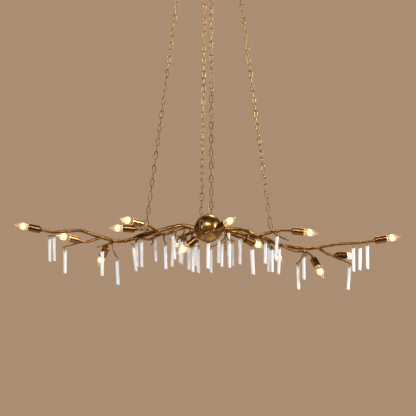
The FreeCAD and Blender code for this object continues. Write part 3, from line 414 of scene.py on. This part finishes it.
fibres, fibres_in, fibres_out = new_group(
    "Crystal fibres",
    [("NodeSocketVector", "Vector", None)],
    [("NodeSocketFloat", "Cloud"), ("NodeSocketFloat", "Height")],
)
squeeze = fibres.nodes.new("ShaderNodeMapping")
squeeze.inputs["Scale"].default_value = FIBRE_STRETCH
fibres.links.new(fibres_in.outputs["Vector"], squeeze.inputs["Vector"])
strands = noise(fibres, squeeze.outputs["Vector"], scale=700.0, detail=3.0, rough=0.6)
clouds = noise(fibres, squeeze.outputs["Vector"], scale=160.0, detail=3.0, rough=0.6)
fibre_height = combine(fibres, "ADD", strands, combine(fibres, "MULTIPLY", clouds, CLOUD_HEIGHT))
fibres.links.new(clouds, fibres_out.inputs["Cloud"])
fibres.links.new(fibre_height, fibres_out.inputs["Height"])
print("node groups:", [group.name for group in bpy.data.node_groups])

# %% [markdown]
# ## Finishes
#
# Each finish starts from the same two nodes: the surface shader, and the object's own coordinates,
# which stay with the piece when it moves. The bump is only as high as the real texture, from a tenth
# of a millimetre on the twigs to under one millimetre on the hammered ball.

# %% Start a finish
SURFACE = "Principled BSDF"
FINE_BUMP = 0.0001


def new_finish(name):
    """A material with its nodes, its surface shader and its piece's coordinates."""
    material = bpy.data.materials.new(name)
    material.use_nodes = True
    tree = material.node_tree
    place = tree.nodes.new("ShaderNodeTexCoord")
    return material, tree, tree.nodes[SURFACE], place.outputs["Object"]


def add_group(tree, group, vector, **values):
    """Uses a shared effect with these inputs."""
    node = tree.nodes.new("ShaderNodeGroup")
    node.node_tree = group
    tree.links.new(vector, node.inputs["Vector"])
    set_inputs(node, values)
    return node


def add_bump(tree, shader, height, depth):
    """Raises the surface by a depth in metres where the height is one."""
    node = tree.nodes.new("ShaderNodeBump")
    node.inputs["Distance"].default_value = depth
    tree.links.new(height, node.inputs["Height"])
    tree.links.new(node.outputs["Normal"], shader.inputs["Normal"])


# %% [markdown]
# Gold, chain, cup and brass share one recipe. They differ in body colour, in how much of them is dark
# or rubbed, and in their dents. A thin clear coat over the metal gives the soft second highlight of
# lacquer.

# %% Write the gold recipe
GOLD_DARK = (0.045, 0.017, 0.006)
GOLD_RUBBED = (0.98, 0.66, 0.28)
GOLD_EDGE = (0.50, 0.36, 0.22)
AGED_SHARE = 0.25


def gold_finish(name, body, darkness, rubbing, depth=FINE_BUMP, dents=None):
    """Aged metal of a body colour, hammered where a scale of dents is given."""
    material, tree, shader, place = new_finish(name)
    metal = add_group(tree, aged, place, Body=body, Dark=GOLD_DARK, Rubbed=GOLD_RUBBED,
                      Darkness=darkness, Rubbing=rubbing)
    tree.links.new(metal.outputs["Color"], shader.inputs["Base Color"])
    tree.links.new(metal.outputs["Roughness"], shader.inputs["Roughness"])
    set_inputs(shader, {
        "Metallic": 1.0, "Specular Tint": GOLD_EDGE, "Coat Weight": 0.5, "Coat Roughness": 0.22,
    })
    height = metal.outputs["Height"]
    if dents:
        hammer = add_group(tree, hammered, place, Scale=dents)
        height = combine(tree, "ADD", hammer.outputs["Height"],
                         combine(tree, "MULTIPLY", height, AGED_SHARE))
    add_bump(tree, shader, height, depth)
    return material


# %% [markdown]
# The twigs and cups have the darkest body and are the least rubbed. The chains' links rub against each
# other, so they are lighter and brighter. The ball has the most dark patches, left in its dents.

# %% Gilded twigs, chains, cups, ball and brass
twig_gold = gold_finish("Gilded twig", (0.38, 0.165, 0.036), darkness=0.32, rubbing=0.10)
chain_gold = gold_finish("Gilded chain", (0.52, 0.29, 0.085), darkness=0.5, rubbing=0.4)
cup_gold = gold_finish("Gilded cup", (0.36, 0.150, 0.031), darkness=0.4, rubbing=0.12)
wire_gold = gold_finish("Gilded wire", (0.66, 0.42, 0.16), darkness=0.3, rubbing=0.4)
ball_gold = gold_finish("Hammered gold ball", (0.66, 0.37, 0.11), darkness=0.75, rubbing=0.25,
                        depth=0.0008, dents=75.0)
brass = gold_finish("Screw base brass", (0.80, 0.58, 0.26), darkness=0.2, rubbing=0.3)
print("gold finishes", [twig_gold.name, chain_gold.name, cup_gold.name, wire_gold.name, ball_gold.name])

# %% [markdown]
# Steel, plastic and plain glass are simpler. One fine noise moves their colour, roughness and bump
# together, as tiny spangles, haze or specks do.


# %% Steel, clear lead and ivory plastic
def speckled_finish(name, scale, detail, colours, roughness, depth, values):
    """A finish whose colour, roughness and bump follow one noise."""
    material, tree, shader, place = new_finish(name)
    specks = noise(tree, place, scale, detail)
    tree.links.new(blend_colours(tree, specks, *colours), shader.inputs["Base Color"])
    tree.links.new(spread(tree, specks, *NOISE_RANGE, *roughness), shader.inputs["Roughness"])
    if depth:
        add_bump(tree, shader, specks, depth)
    set_inputs(shader, values)
    return material


GLASS_IOR = 1.45
zinc = speckled_finish(
    "Zinc plated steel", scale=120.0, detail=4.0,
    colours=((0.50, 0.51, 0.53), (0.78, 0.79, 0.80)),
    roughness=(0.30, 0.48), depth=0.0002, values={"Metallic": 1.0},
)
clear_lead = speckled_finish(
    "Clear lead", scale=180.0, detail=3.0,
    colours=((0.72, 0.66, 0.56), (0.93, 0.90, 0.84)),
    roughness=(0.10, 0.24), depth=FINE_BUMP, values={"Transmission Weight": 0.92, "IOR": GLASS_IOR},
)
ivory = speckled_finish(
    "Ivory lampholder", scale=260.0, detail=4.0,
    colours=((0.60, 0.48, 0.30), (0.80, 0.70, 0.50)),
    roughness=(0.45, 0.65), depth=FINE_BUMP, values={},
)
print("plain finishes", [zinc.name, clear_lead.name, ivory.name])

# %% [markdown]
# ## Crystal
#
# The sticks look like cut selenite: milky, silky along their length and a little see-through. Fine
# upright fibres in the bump give the silky streaks. Light has to pass a few millimetres into the
# stone, which is what the subsurface weight does.

# %% Make the crystal finish
CLOUD_RANGE = (0.35, 0.65)
FIBRE_RANGE = (0.5, 1.1)
CRYSTAL_ROUGHNESS = (0.18, 0.42)
MILK, PALE_MILK = (0.90, 0.90, 0.915), (0.99, 0.99, 1.0)
CRYSTAL_BUMP = 0.0004

crystal, crystal_tree, crystal_shader, crystal_place = new_finish("Milky crystal")
inner = add_group(crystal_tree, fibres, crystal_place).outputs
cloud_share = spread(crystal_tree, inner["Cloud"], *CLOUD_RANGE)
crystal_tree.links.new(blend_colours(crystal_tree, cloud_share, MILK, PALE_MILK),
                       crystal_shader.inputs["Base Color"])
crystal_tree.links.new(spread(crystal_tree, inner["Height"], *FIBRE_RANGE, *CRYSTAL_ROUGHNESS),
                       crystal_shader.inputs["Roughness"])
set_inputs(crystal_shader, {
    "Subsurface Weight": 0.5, "Subsurface Radius": (1.0, 0.85, 0.8), "Subsurface Scale": 0.006,
    "IOR": 1.52, "Coat Weight": 0.25, "Coat Roughness": 0.12,
})
add_bump(crystal_tree, crystal_shader, inner["Height"], CRYSTAL_BUMP)
print("crystal nodes", len(crystal_tree.nodes))

# %% [markdown]
# ## Hand the finishes to the CAD nodes
#
# Most CAD nodes already have the right shape, so they stay and only get a better finish in their
# material slots.


# %% Dress the nodes
def dress(obj, material):
    """Gives a piece one finish all over."""
    obj.data.materials.clear()
    obj.data.materials.append(material)


FINISHES = {
    "canopy": cup_gold, "canopy_loop": cup_gold, "ceiling_bracket": zinc, "lock_nut": zinc,
    "master_link": chain_gold, "chain_left": chain_gold, "chain_right": chain_gold,
    "chain_front": chain_gold, "chain_back": chain_gold, "left_branch": twig_gold,
    "right_branch": twig_gold, "front_branch": twig_gold, "back_branch": twig_gold,
    "hub_upper_shell": ball_gold, "hub_lower_shell": ball_gold, "hub_spindle": cup_gold,
    "lamp_cups": cup_gold, "lampholders": ivory, "bulb_bases": brass,
}
for node_name, finish in FINISHES.items():
    dress(nodes[node_name], finish)
for piece in (supply_lead, lead_tail, sleeve, canopy_bushing):
    dress(piece, clear_lead)
print("dressed", len(FINISHES), "nodes")

# %% [markdown]
# ## Find the lamps
#
# All fourteen cups are one CAD node, and so are the bulbs. To add detail to each lamp, its place and
# direction are read from copies of those nodes: a merged copy is split into islands, and each island
# is one cup or bulb. The corners wait in a dictionary, because it keeps their order and a set doesn't.
# The same order gives the same averages on every run.

# %% Split a node into islands
MERGE_DISTANCE = 1e-5


def islands_of(node_name):
    """The corner places of each loose part of a CAD node."""
    mesh = bmesh.new()
    mesh.from_mesh(nodes[node_name].data)
    bmesh.ops.remove_doubles(mesh, verts=mesh.verts, dist=MERGE_DISTANCE)
    waiting = dict.fromkeys(mesh.verts)
    found = []
    while waiting:
        reached = [waiting.popitem()[0]]
        island = []
        while reached:
            corner = reached.pop()
            island.append(corner.co.copy())
            for edge in corner.link_edges:
                other = edge.other_vert(corner)
                if other in waiting:
                    del waiting[other]
                    reached.append(other)
        found.append(island)
    mesh.free()
    return found


# %% [markdown]
# The line from the middle of a screw base to the middle of its bulb is the lamp's axis. How far the
# cup and the bulb reach along that axis gives the places where the new pieces go.


# %% Read each lamp's axis
def middle(places):
    """The average of some places."""
    return sum(places, Vector()) / len(places)


bases = [middle(base) for base in islands_of("bulb_bases")]
cups = [(middle(cup), cup) for cup in islands_of("lamp_cups")]
lamps = []
for bulb in islands_of("bulb_glass"):
    centre = middle(bulb)
    base = min(bases, key=lambda place: (place - centre).length)
    cup_centre, cup = min(cups, key=lambda pair: (pair[0] - base).length)
    heading = (centre - base).normalized()
    along_cup = [(place - cup_centre).dot(heading) for place in cup]
    along_bulb = [(place - centre).dot(heading) for place in bulb]
    lamps.append({
        "heading": heading,
        "cup_back": cup_centre + heading * min(along_cup),
        "cup_mouth": cup_centre + heading * max(along_cup),
        "bulb_foot": centre + heading * min(along_bulb),
    })
lamps.sort(key=lambda lamp: lamp["cup_back"].x)
print("lamps", len(lamps))

# %% [markdown]
# ## Flame bulbs
#
# A flame bulb is a blown glass drop with a drawn tip. It is modelled as by hand: a circle at the neck
# is extruded upwards ring by ring, and each ring is scaled to the outline's width. The wall then gets
# its thickness, so that light bends twice as in real glass.

# %% Model one bulb
BULB_LENGTH = 0.078
BULB_RADIUS = 0.0143
BULB_WALL = 0.0008
BULB_SHARES = [
    (0.00, 0.40), (0.06, 0.40), (0.10, 0.42), (0.13, 0.45), (0.16, 0.52), (0.20, 0.62), (0.26, 0.77),
    (0.32, 0.90), (0.38, 0.97), (0.44, 1.00), (0.50, 0.99), (0.56, 0.95), (0.62, 0.87), (0.68, 0.76),
    (0.74, 0.62), (0.80, 0.47), (0.86, 0.33), (0.91, 0.22), (0.95, 0.14), (0.98, 0.075),
    (0.997, 0.02),
]
neck_radius = BULB_RADIUS * BULB_SHARES[0][1]
bpy.ops.mesh.primitive_circle_add(vertices=28, radius=neck_radius, fill_type="NGON")
bulb_model = bpy.context.object
open_mesh()
for (low, narrow), (high, wide) in zip(BULB_SHARES, BULB_SHARES[1:]):
    step = (0, 0, (high - low) * BULB_LENGTH)
    bpy.ops.mesh.extrude_region_move(TRANSFORM_OT_translate={"value": step})
    bpy.ops.transform.resize(value=(wide / narrow, wide / narrow, 1))
bpy.ops.mesh.select_all(action="SELECT")
bpy.ops.mesh.normals_make_consistent(inside=False)
close_mesh()
bpy.ops.object.shade_smooth()
settle(bulb_model, "bulb_model")
wall = bulb_model.modifiers.new("glass wall", "SOLIDIFY")
wall.thickness = BULB_WALL
wall.offset = -1
bpy.ops.object.modifier_apply(modifier=wall.name)
print("bulb corners", len(bulb_model.data.vertices))

# %% [markdown]
# The glow of a lit bulb is strongest around its filament and fades towards the tip and the neck. A
# value is stored on the corners of the glass, from one beside the filament to nearly zero at the ends,
# and the finish reads it.

# %% Store the glow and make the glass
GLOW_CENTRE = 0.47
GLOW_REACH = 0.16
GLOW_COOL, GLOW_WARM, GLOW_HOT = (0.08, 0.07, 0.06), (0.50, 0.18, 0.03), (1.0, 0.72, 0.36)
HOT_RANGE = (0.55, 1.0)
GLASS_ROUGHNESS = (0.01, 0.04)

glow = bulb_model.data.attributes.new("glow", "FLOAT", "POINT")
for corner, value in zip(bulb_model.data.vertices, glow.data):
    away = (corner.co.z / BULB_LENGTH - GLOW_CENTRE) / GLOW_REACH
    value.value = math.exp(-away * away)
print("strongest glow", round(max(value.value for value in glow.data), 3))

bulb_glass, glass_tree, glass_shader, glass_place = new_finish("Lit bulb glass")
stored = glass_tree.nodes.new("ShaderNodeAttribute")
stored.attribute_name = "glow"
halo = blend_colours(glass_tree, stored.outputs["Fac"], GLOW_COOL, GLOW_WARM)
hot_share = spread(glass_tree, stored.outputs["Fac"], *HOT_RANGE)
glow_colour = blend_colours(glass_tree, hot_share, halo, GLOW_HOT)
smear = noise(glass_tree, glass_place, scale=60.0, detail=2.0)
glass_roughness = spread(glass_tree, smear, *NOISE_RANGE, *GLASS_ROUGHNESS)
glass_tree.links.new(glow_colour, glass_shader.inputs["Emission Color"])
glass_tree.links.new(glass_roughness, glass_shader.inputs["Roughness"])
set_inputs(glass_shader, {
    "Emission Strength": 0.5, "Base Color": (1.0, 0.97, 0.93), "Transmission Weight": 1.0,
    "IOR": GLASS_IOR,
})
dress(bulb_model, bulb_glass)

# %% [markdown]
# Inside, a glass stem carries the coiled filament. The coil is drawn as one thick bright wire, because
# its turns are finer than a hair.

# %% Model the filament
FILAMENT_PATH = [
    (-0.0035, 0.0, 0.0270), (-0.0038, 0.0, 0.0340), (-0.0024, 0.0008, 0.0410), (0.0, 0.0, 0.0440),
    (0.0024, -0.0008, 0.0410), (0.0038, 0.0, 0.0340), (0.0035, 0.0, 0.0270),
]
FILAMENT_RADIUS = 0.0014
HOT_ORANGE, HOT_YELLOW = (1.0, 0.62, 0.26), (1.0, 0.86, 0.56)

pick(draw_wire("filament_model", FILAMENT_PATH, FILAMENT_RADIUS, round_steps=2, line_steps=4))
bpy.ops.object.convert(target="MESH")
filament_model = bpy.context.object

hot, hot_tree, hot_shader, hot_place = new_finish("White hot filament")
ripple = noise(hot_tree, hot_place, scale=900.0, detail=2.0)
hot_tree.links.new(blend_colours(hot_tree, ripple, HOT_ORANGE, HOT_YELLOW),
                   hot_shader.inputs["Emission Color"])
set_inputs(hot_shader, {"Emission Strength": 55.0, "Base Color": (0.9, 0.7, 0.4)})
dress(filament_model, hot)
print("filament corners", len(filament_model.data.vertices))

# %% [markdown]
# The stem is a cone of plain glass that is wide at its foot, where it is sealed into the neck.

# %% Model the stem
STEM_FOOT, STEM_TOP = 0.0050, 0.0016
STEM_LENGTH = 0.0230
STEM_MIDDLE = 0.0125
STEM_EDGE = 0.0006

bpy.ops.mesh.primitive_cone_add(vertices=16, radius1=STEM_FOOT, radius2=STEM_TOP,
                                depth=STEM_LENGTH, location=(0, 0, STEM_MIDDLE))
stem_model = bpy.context.object
open_mesh()
bpy.ops.mesh.bevel(offset=STEM_EDGE, segments=2, affect="EDGES")
close_mesh()
smooth_under(50)
settle(stem_model, "stem_model")
dress(stem_model, speckled_finish(
    "Stem glass", scale=200.0, detail=2.0,
    colours=((0.85, 0.62, 0.35), (1.0, 0.86, 0.62)),
    roughness=(0.10, 0.25), depth=None, values={"Transmission Weight": 0.8},
))
print("stem corners", len(stem_model.data.vertices))

# %% [markdown]
# ## Rim bead and back collar
#
# Each spun cup has a rolled bead at its mouth, which the bulb beside it lights up as a thin bright
# ring. The bead is a torus made a little taller; a weak emission paints the bulb's light on it as a
# glow.

# %% Model the bead
CUP_RADIUS = 0.0152
BEAD_INSET = 0.0005
BEAD_THICKNESS = 0.0009
BEAD_HEIGHT = 1.25

bpy.ops.mesh.primitive_torus_add(major_segments=40, minor_segments=10,
                                 major_radius=CUP_RADIUS - BEAD_INSET, minor_radius=BEAD_THICKNESS)
bead_model = bpy.context.object
open_mesh()
bpy.ops.transform.resize(value=(1, 1, BEAD_HEIGHT))
close_mesh()
bpy.ops.object.shade_smooth()
settle(bead_model, "bead_model")
rim_gold_painted_glow = gold_finish("Rim gold with painted glow", (0.98, 0.72, 0.34), darkness=0.1, rubbing=0.3)
# The emission is painted light: a painted glow for the bulb's light on the bead, which is no lamp.
set_inputs(rim_gold_painted_glow.node_tree.nodes[SURFACE], {
    "Emission Color": (1.0, 0.66, 0.26), "Emission Strength": 0.85,
})
dress(bead_model, rim_gold_painted_glow)
print("bead corners", len(bead_model.data.vertices))

# %% [markdown]
# At the back of the cup a small turned collar clamps it to the arm. It is a cylinder whose back face
# is inset and drawn out into a narrower step, as a lathe would cut it.

# %% Model the collar
COLLAR_RADIUS = 0.0074
COLLAR_LENGTH = 0.0070
COLLAR_MIDDLE = -0.0036
STEP_INSET = 0.0010
STEP_LENGTH = 0.0022
STEP_TAPER = 0.88
COLLAR_EDGE = 0.0006
BACKWARDS = -0.9

bpy.ops.mesh.primitive_cylinder_add(vertices=28, radius=COLLAR_RADIUS, depth=COLLAR_LENGTH,
                                    location=(0, 0, COLLAR_MIDDLE))
collar_model = bpy.context.object
open_mesh()
bpy.ops.mesh.select_all(action="DESELECT")
close_mesh()
for face in collar_model.data.polygons:
    face.select = face.normal.z < BACKWARDS
bpy.ops.object.mode_set(mode="EDIT")
bpy.ops.mesh.inset(thickness=STEP_INSET)
bpy.ops.mesh.extrude_region_move(TRANSFORM_OT_translate={"value": (0, 0, -STEP_LENGTH)})
bpy.ops.transform.resize(value=(STEP_TAPER, STEP_TAPER, 1))
close_mesh()
round_edges(collar_model, COLLAR_EDGE, 2)
smooth_under(40)
settle(collar_model, "collar_model")
dress(collar_model, cup_gold)
print("collar corners", len(collar_model.data.vertices))

# %% [markdown]
# ## Put the detail on every lamp
#
# The models stand upright at the origin. Each lamp gets copies of them, turned to its axis: the bulb,
# filament and stem at the bulb's foot, the bead at the cup's mouth and the collar at its back.


# %% Turn and copy a model
def lamp_matrix(lamp, origin):
    """Turns a piece modelled upright so that its top points along the lamp."""
    turn = lamp["heading"].to_track_quat("Z", "Y").to_matrix().to_4x4()
    return Matrix.Translation(origin) @ turn


def copy_of(obj, name, matrix):
    """A copy with its own mesh, placed by a matrix."""
    mesh = obj.data.copy()
    mesh.transform(matrix)
    mesh.name = name
    return link(bpy.data.objects.new(name, mesh))


# %% [markdown]
# Only the bulb replaces a CAD node. The other four pieces are detail that the CAD leaves out, so they
# just ride on the chandelier. The upright models are removed at the end.

# %% Place the copies
DETAILS = (
    (filament_model, "filament", "bulb_foot", "base_brass"),
    (stem_model, "bulb_stem", "bulb_foot", "bulb_glass"),
    (bead_model, "rim_bead", "cup_mouth", "antique_gold"),
    (collar_model, "cup_collar", "cup_back", "antique_gold"),
)
for number, lamp in enumerate(lamps, 1):
    bulb = copy_of(bulb_model, f"bulb_{number:02d}", lamp_matrix(lamp, lamp["bulb_foot"]))
    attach(bulb, "chandelier")
    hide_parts("bulb_glass")
    for model, label, place, slot in DETAILS:
        piece = copy_of(model, f"{label}_{number:02d}", lamp_matrix(lamp, lamp[place]))
        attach(piece, "chandelier")
for model in (bulb_model, filament_model, stem_model, bead_model, collar_model):
    bpy.data.objects.remove(model)
print("pieces on the lamps", len(lamps) * (1 + len(DETAILS)))

# %% [markdown]
# ## Crystal sticks and their wires
#
# Each CAD stick is a flat-sided prism with its wire loop. A merged copy is split by the separate
# operator into its two loose parts, and the stone is the one that hangs lower.


# %% Split one stick
def lowest(piece):
    """The height of a piece's lowest corner."""
    return min(corner.co.z for corner in piece.data.vertices)


def split_stick(node_name):
    """Copies a stick's node and returns its stone and its wire."""
    both = link(bpy.data.objects.new(node_name + "_copy", nodes[node_name].data.copy()))
    pick(both)
    open_mesh()
    bpy.ops.mesh.remove_doubles(threshold=MERGE_DISTANCE)
    bpy.ops.mesh.separate(type="LOOSE")
    close_mesh()
    return sorted(bpy.context.selected_objects, key=lowest)


# %% [markdown]
# The stone's flat sides come as many triangles, so they are first joined into one face each. Its edges
# are then worn round by a small bevel, and the wire only gets smooth shading. Both ride on the stick's
# own body, so they swing together.

# %% Wear and dress the sticks
WEAR_WIDTH = 0.0007
WEAR_DEGREES = 25
FLAT_DEGREES = 1


def dress_stick(number):
    """Replaces one stick's node with a worn stone and its wire."""
    node_name = f"stick_{number:02d}"
    stone, wire = split_stick(node_name)
    pick(stone)
    open_mesh()
    bpy.ops.mesh.dissolve_limited(angle_limit=math.radians(FLAT_DEGREES))
    close_mesh()
    round_edges(stone, WEAR_WIDTH, 2, WEAR_DEGREES)
    smooth_under(20)
    settle(stone, f"crystal_{number:02d}")
    dress(stone, crystal)
    pick(wire)
    bpy.ops.object.shade_smooth()
    settle(wire, f"stick_wire_{number:02d}")
    dress(wire, wire_gold)
    for piece, slot in ((stone, "crystal"), (wire, "antique_gold")):
        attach(piece, node_name)
        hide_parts(node_name)


stick_count = sum(1 for name in nodes if name.startswith("stick_"))
for number in range(1, stick_count + 1):
    dress_stick(number)
print("sticks", stick_count)

# %% [markdown]
# ## Floor, light and background
#
# A pale floor lies well below the branches, and takes a faint mottle so that it isn't one flat tone.

# %% Lay the floor
FLOOR_HEIGHT = -4.4
FLOOR_RADIUS = 2.9
FLOOR_TONES = ((0.70, 0.65, 0.58), (0.74, 0.69, 0.62))

bpy.ops.mesh.primitive_circle_add(
    vertices=64, radius=FLOOR_RADIUS, fill_type="NGON", location=(0, 0, FLOOR_HEIGHT)
)
floor = settle(bpy.context.object, "pale_floor")
floor_paint, floor_tree, floor_shader, floor_place = new_finish("Pale floor paint")
floor_mottle = noise(floor_tree, floor_place, scale=2.0, detail=4.0)
floor_colour = blend_colours(floor_tree, floor_mottle, *FLOOR_TONES)
floor_tree.links.new(floor_colour, floor_shader.inputs["Base Color"])
floor_shader.inputs["Roughness"].default_value = 0.8
dress(floor, floor_paint)
print("floor radius", FLOOR_RADIUS)

# %% [markdown]
# Four soft lamps light the gilding: a key at the right, a weak fill at the left, a long narrow strip
# in front that draws highlights along the limbs, and one behind that outlines them.


# %% Set the lamps
def soft_lamp(name, place, size, power, colour, height=None):
    """A lamp that faces the hub: a disc, or a strip where a height is given."""
    data = bpy.data.lights.new(name, "AREA")
    data.shape = "RECTANGLE" if height else "DISK"
    data.size = size
    data.size_y = height or size
    data.energy = power
    data.color = colour
    lamp = link(bpy.data.objects.new(name, data))
    lamp.location = place
    lamp.rotation_euler = (HUB - Vector(place)).to_track_quat("-Z", "Y").to_euler()


soft_lamp("right key", (2.8, -1.0, -0.95), size=0.8, power=84, colour=(1.0, 0.97, 0.94))
soft_lamp("left fill", (-2.8, -2.2, -0.9), size=0.7, power=17, colour=(1.0, 0.97, 0.93))
soft_lamp("long strip", (-0.3, -2.6, 0.0), size=2.4, power=52, colour=(1.0, 0.98, 0.95), height=0.10)
soft_lamp("back rim", (0.4, 2.2, -0.2), size=1.0, power=20, colour=(1.0, 0.97, 0.94))
print("lamps in the studio", len(bpy.data.lights))

# %% [markdown]
# The world does three jobs. Its even light fills the shadows. The camera, straight or through glass,
# sees a pale warm background. Mirror-like surfaces see that background behind the chandelier and a
# dark room on the camera's side, which gives the polished gold its contrast.

# %% Colour the world
BACKGROUND = (0.405, 0.27, 0.17)
ROOM = (0.035, 0.022, 0.014)
AMBIENT = (1.0, 0.97, 0.93)
AMBIENT_STRENGTH = 0.38
BACKDROP_RANGE = (0.4, 1.0)

world = bpy.data.worlds.new("studio")
world.use_nodes = True
bpy.context.scene.world = world
sky = world.node_tree
ambient = sky.nodes["Background"]
set_inputs(ambient, {"Color": AMBIENT, "Strength": AMBIENT_STRENGTH})
seen = sky.nodes.new("ShaderNodeBackground")
set_inputs(seen, {"Color": BACKGROUND, "Strength": 1.0})

direction = sky.nodes.new("ShaderNodeTexCoord")
axes = sky.nodes.new("ShaderNodeSeparateXYZ")
sky.links.new(direction.outputs["Generated"], axes.inputs["Vector"])
behind = spread(sky, axes.outputs["Y"], *BACKDROP_RANGE)
mirrored = sky.nodes.new("ShaderNodeBackground")
sky.links.new(blend_colours(sky, behind, ROOM, BACKGROUND), mirrored.inputs["Color"])
print("worlds", [ambient.name, seen.name, mirrored.name])

# %% [markdown]
# Two mixes choose between the three. The first gives mirror rays their room, and the second gives the
# camera its background.


# %% Choose what each ray sees
def mix_worlds(share, first, second):
    """Shows the first world, or the second where the share is one."""
    mix = sky.nodes.new("ShaderNodeMixShader")
    sky.links.new(share, mix.inputs["Fac"])
    sky.links.new(first, mix.inputs[1])
    sky.links.new(second, mix.inputs[2])
    return mix.outputs["Shader"]


rays = sky.nodes.new("ShaderNodeLightPath").outputs
lit = mix_worlds(rays["Is Glossy Ray"], ambient.outputs["Background"], mirrored.outputs["Background"])
shows = combine(sky, "MAXIMUM", rays["Is Camera Ray"], rays["Is Transmission Ray"])
chosen = mix_worlds(shows, lit, seen.outputs["Background"])
sky.links.new(chosen, sky.nodes["World Output"].inputs["Surface"])
bpy.context.scene.view_settings.view_transform = "Standard"
print("world nodes", len(sky.nodes))
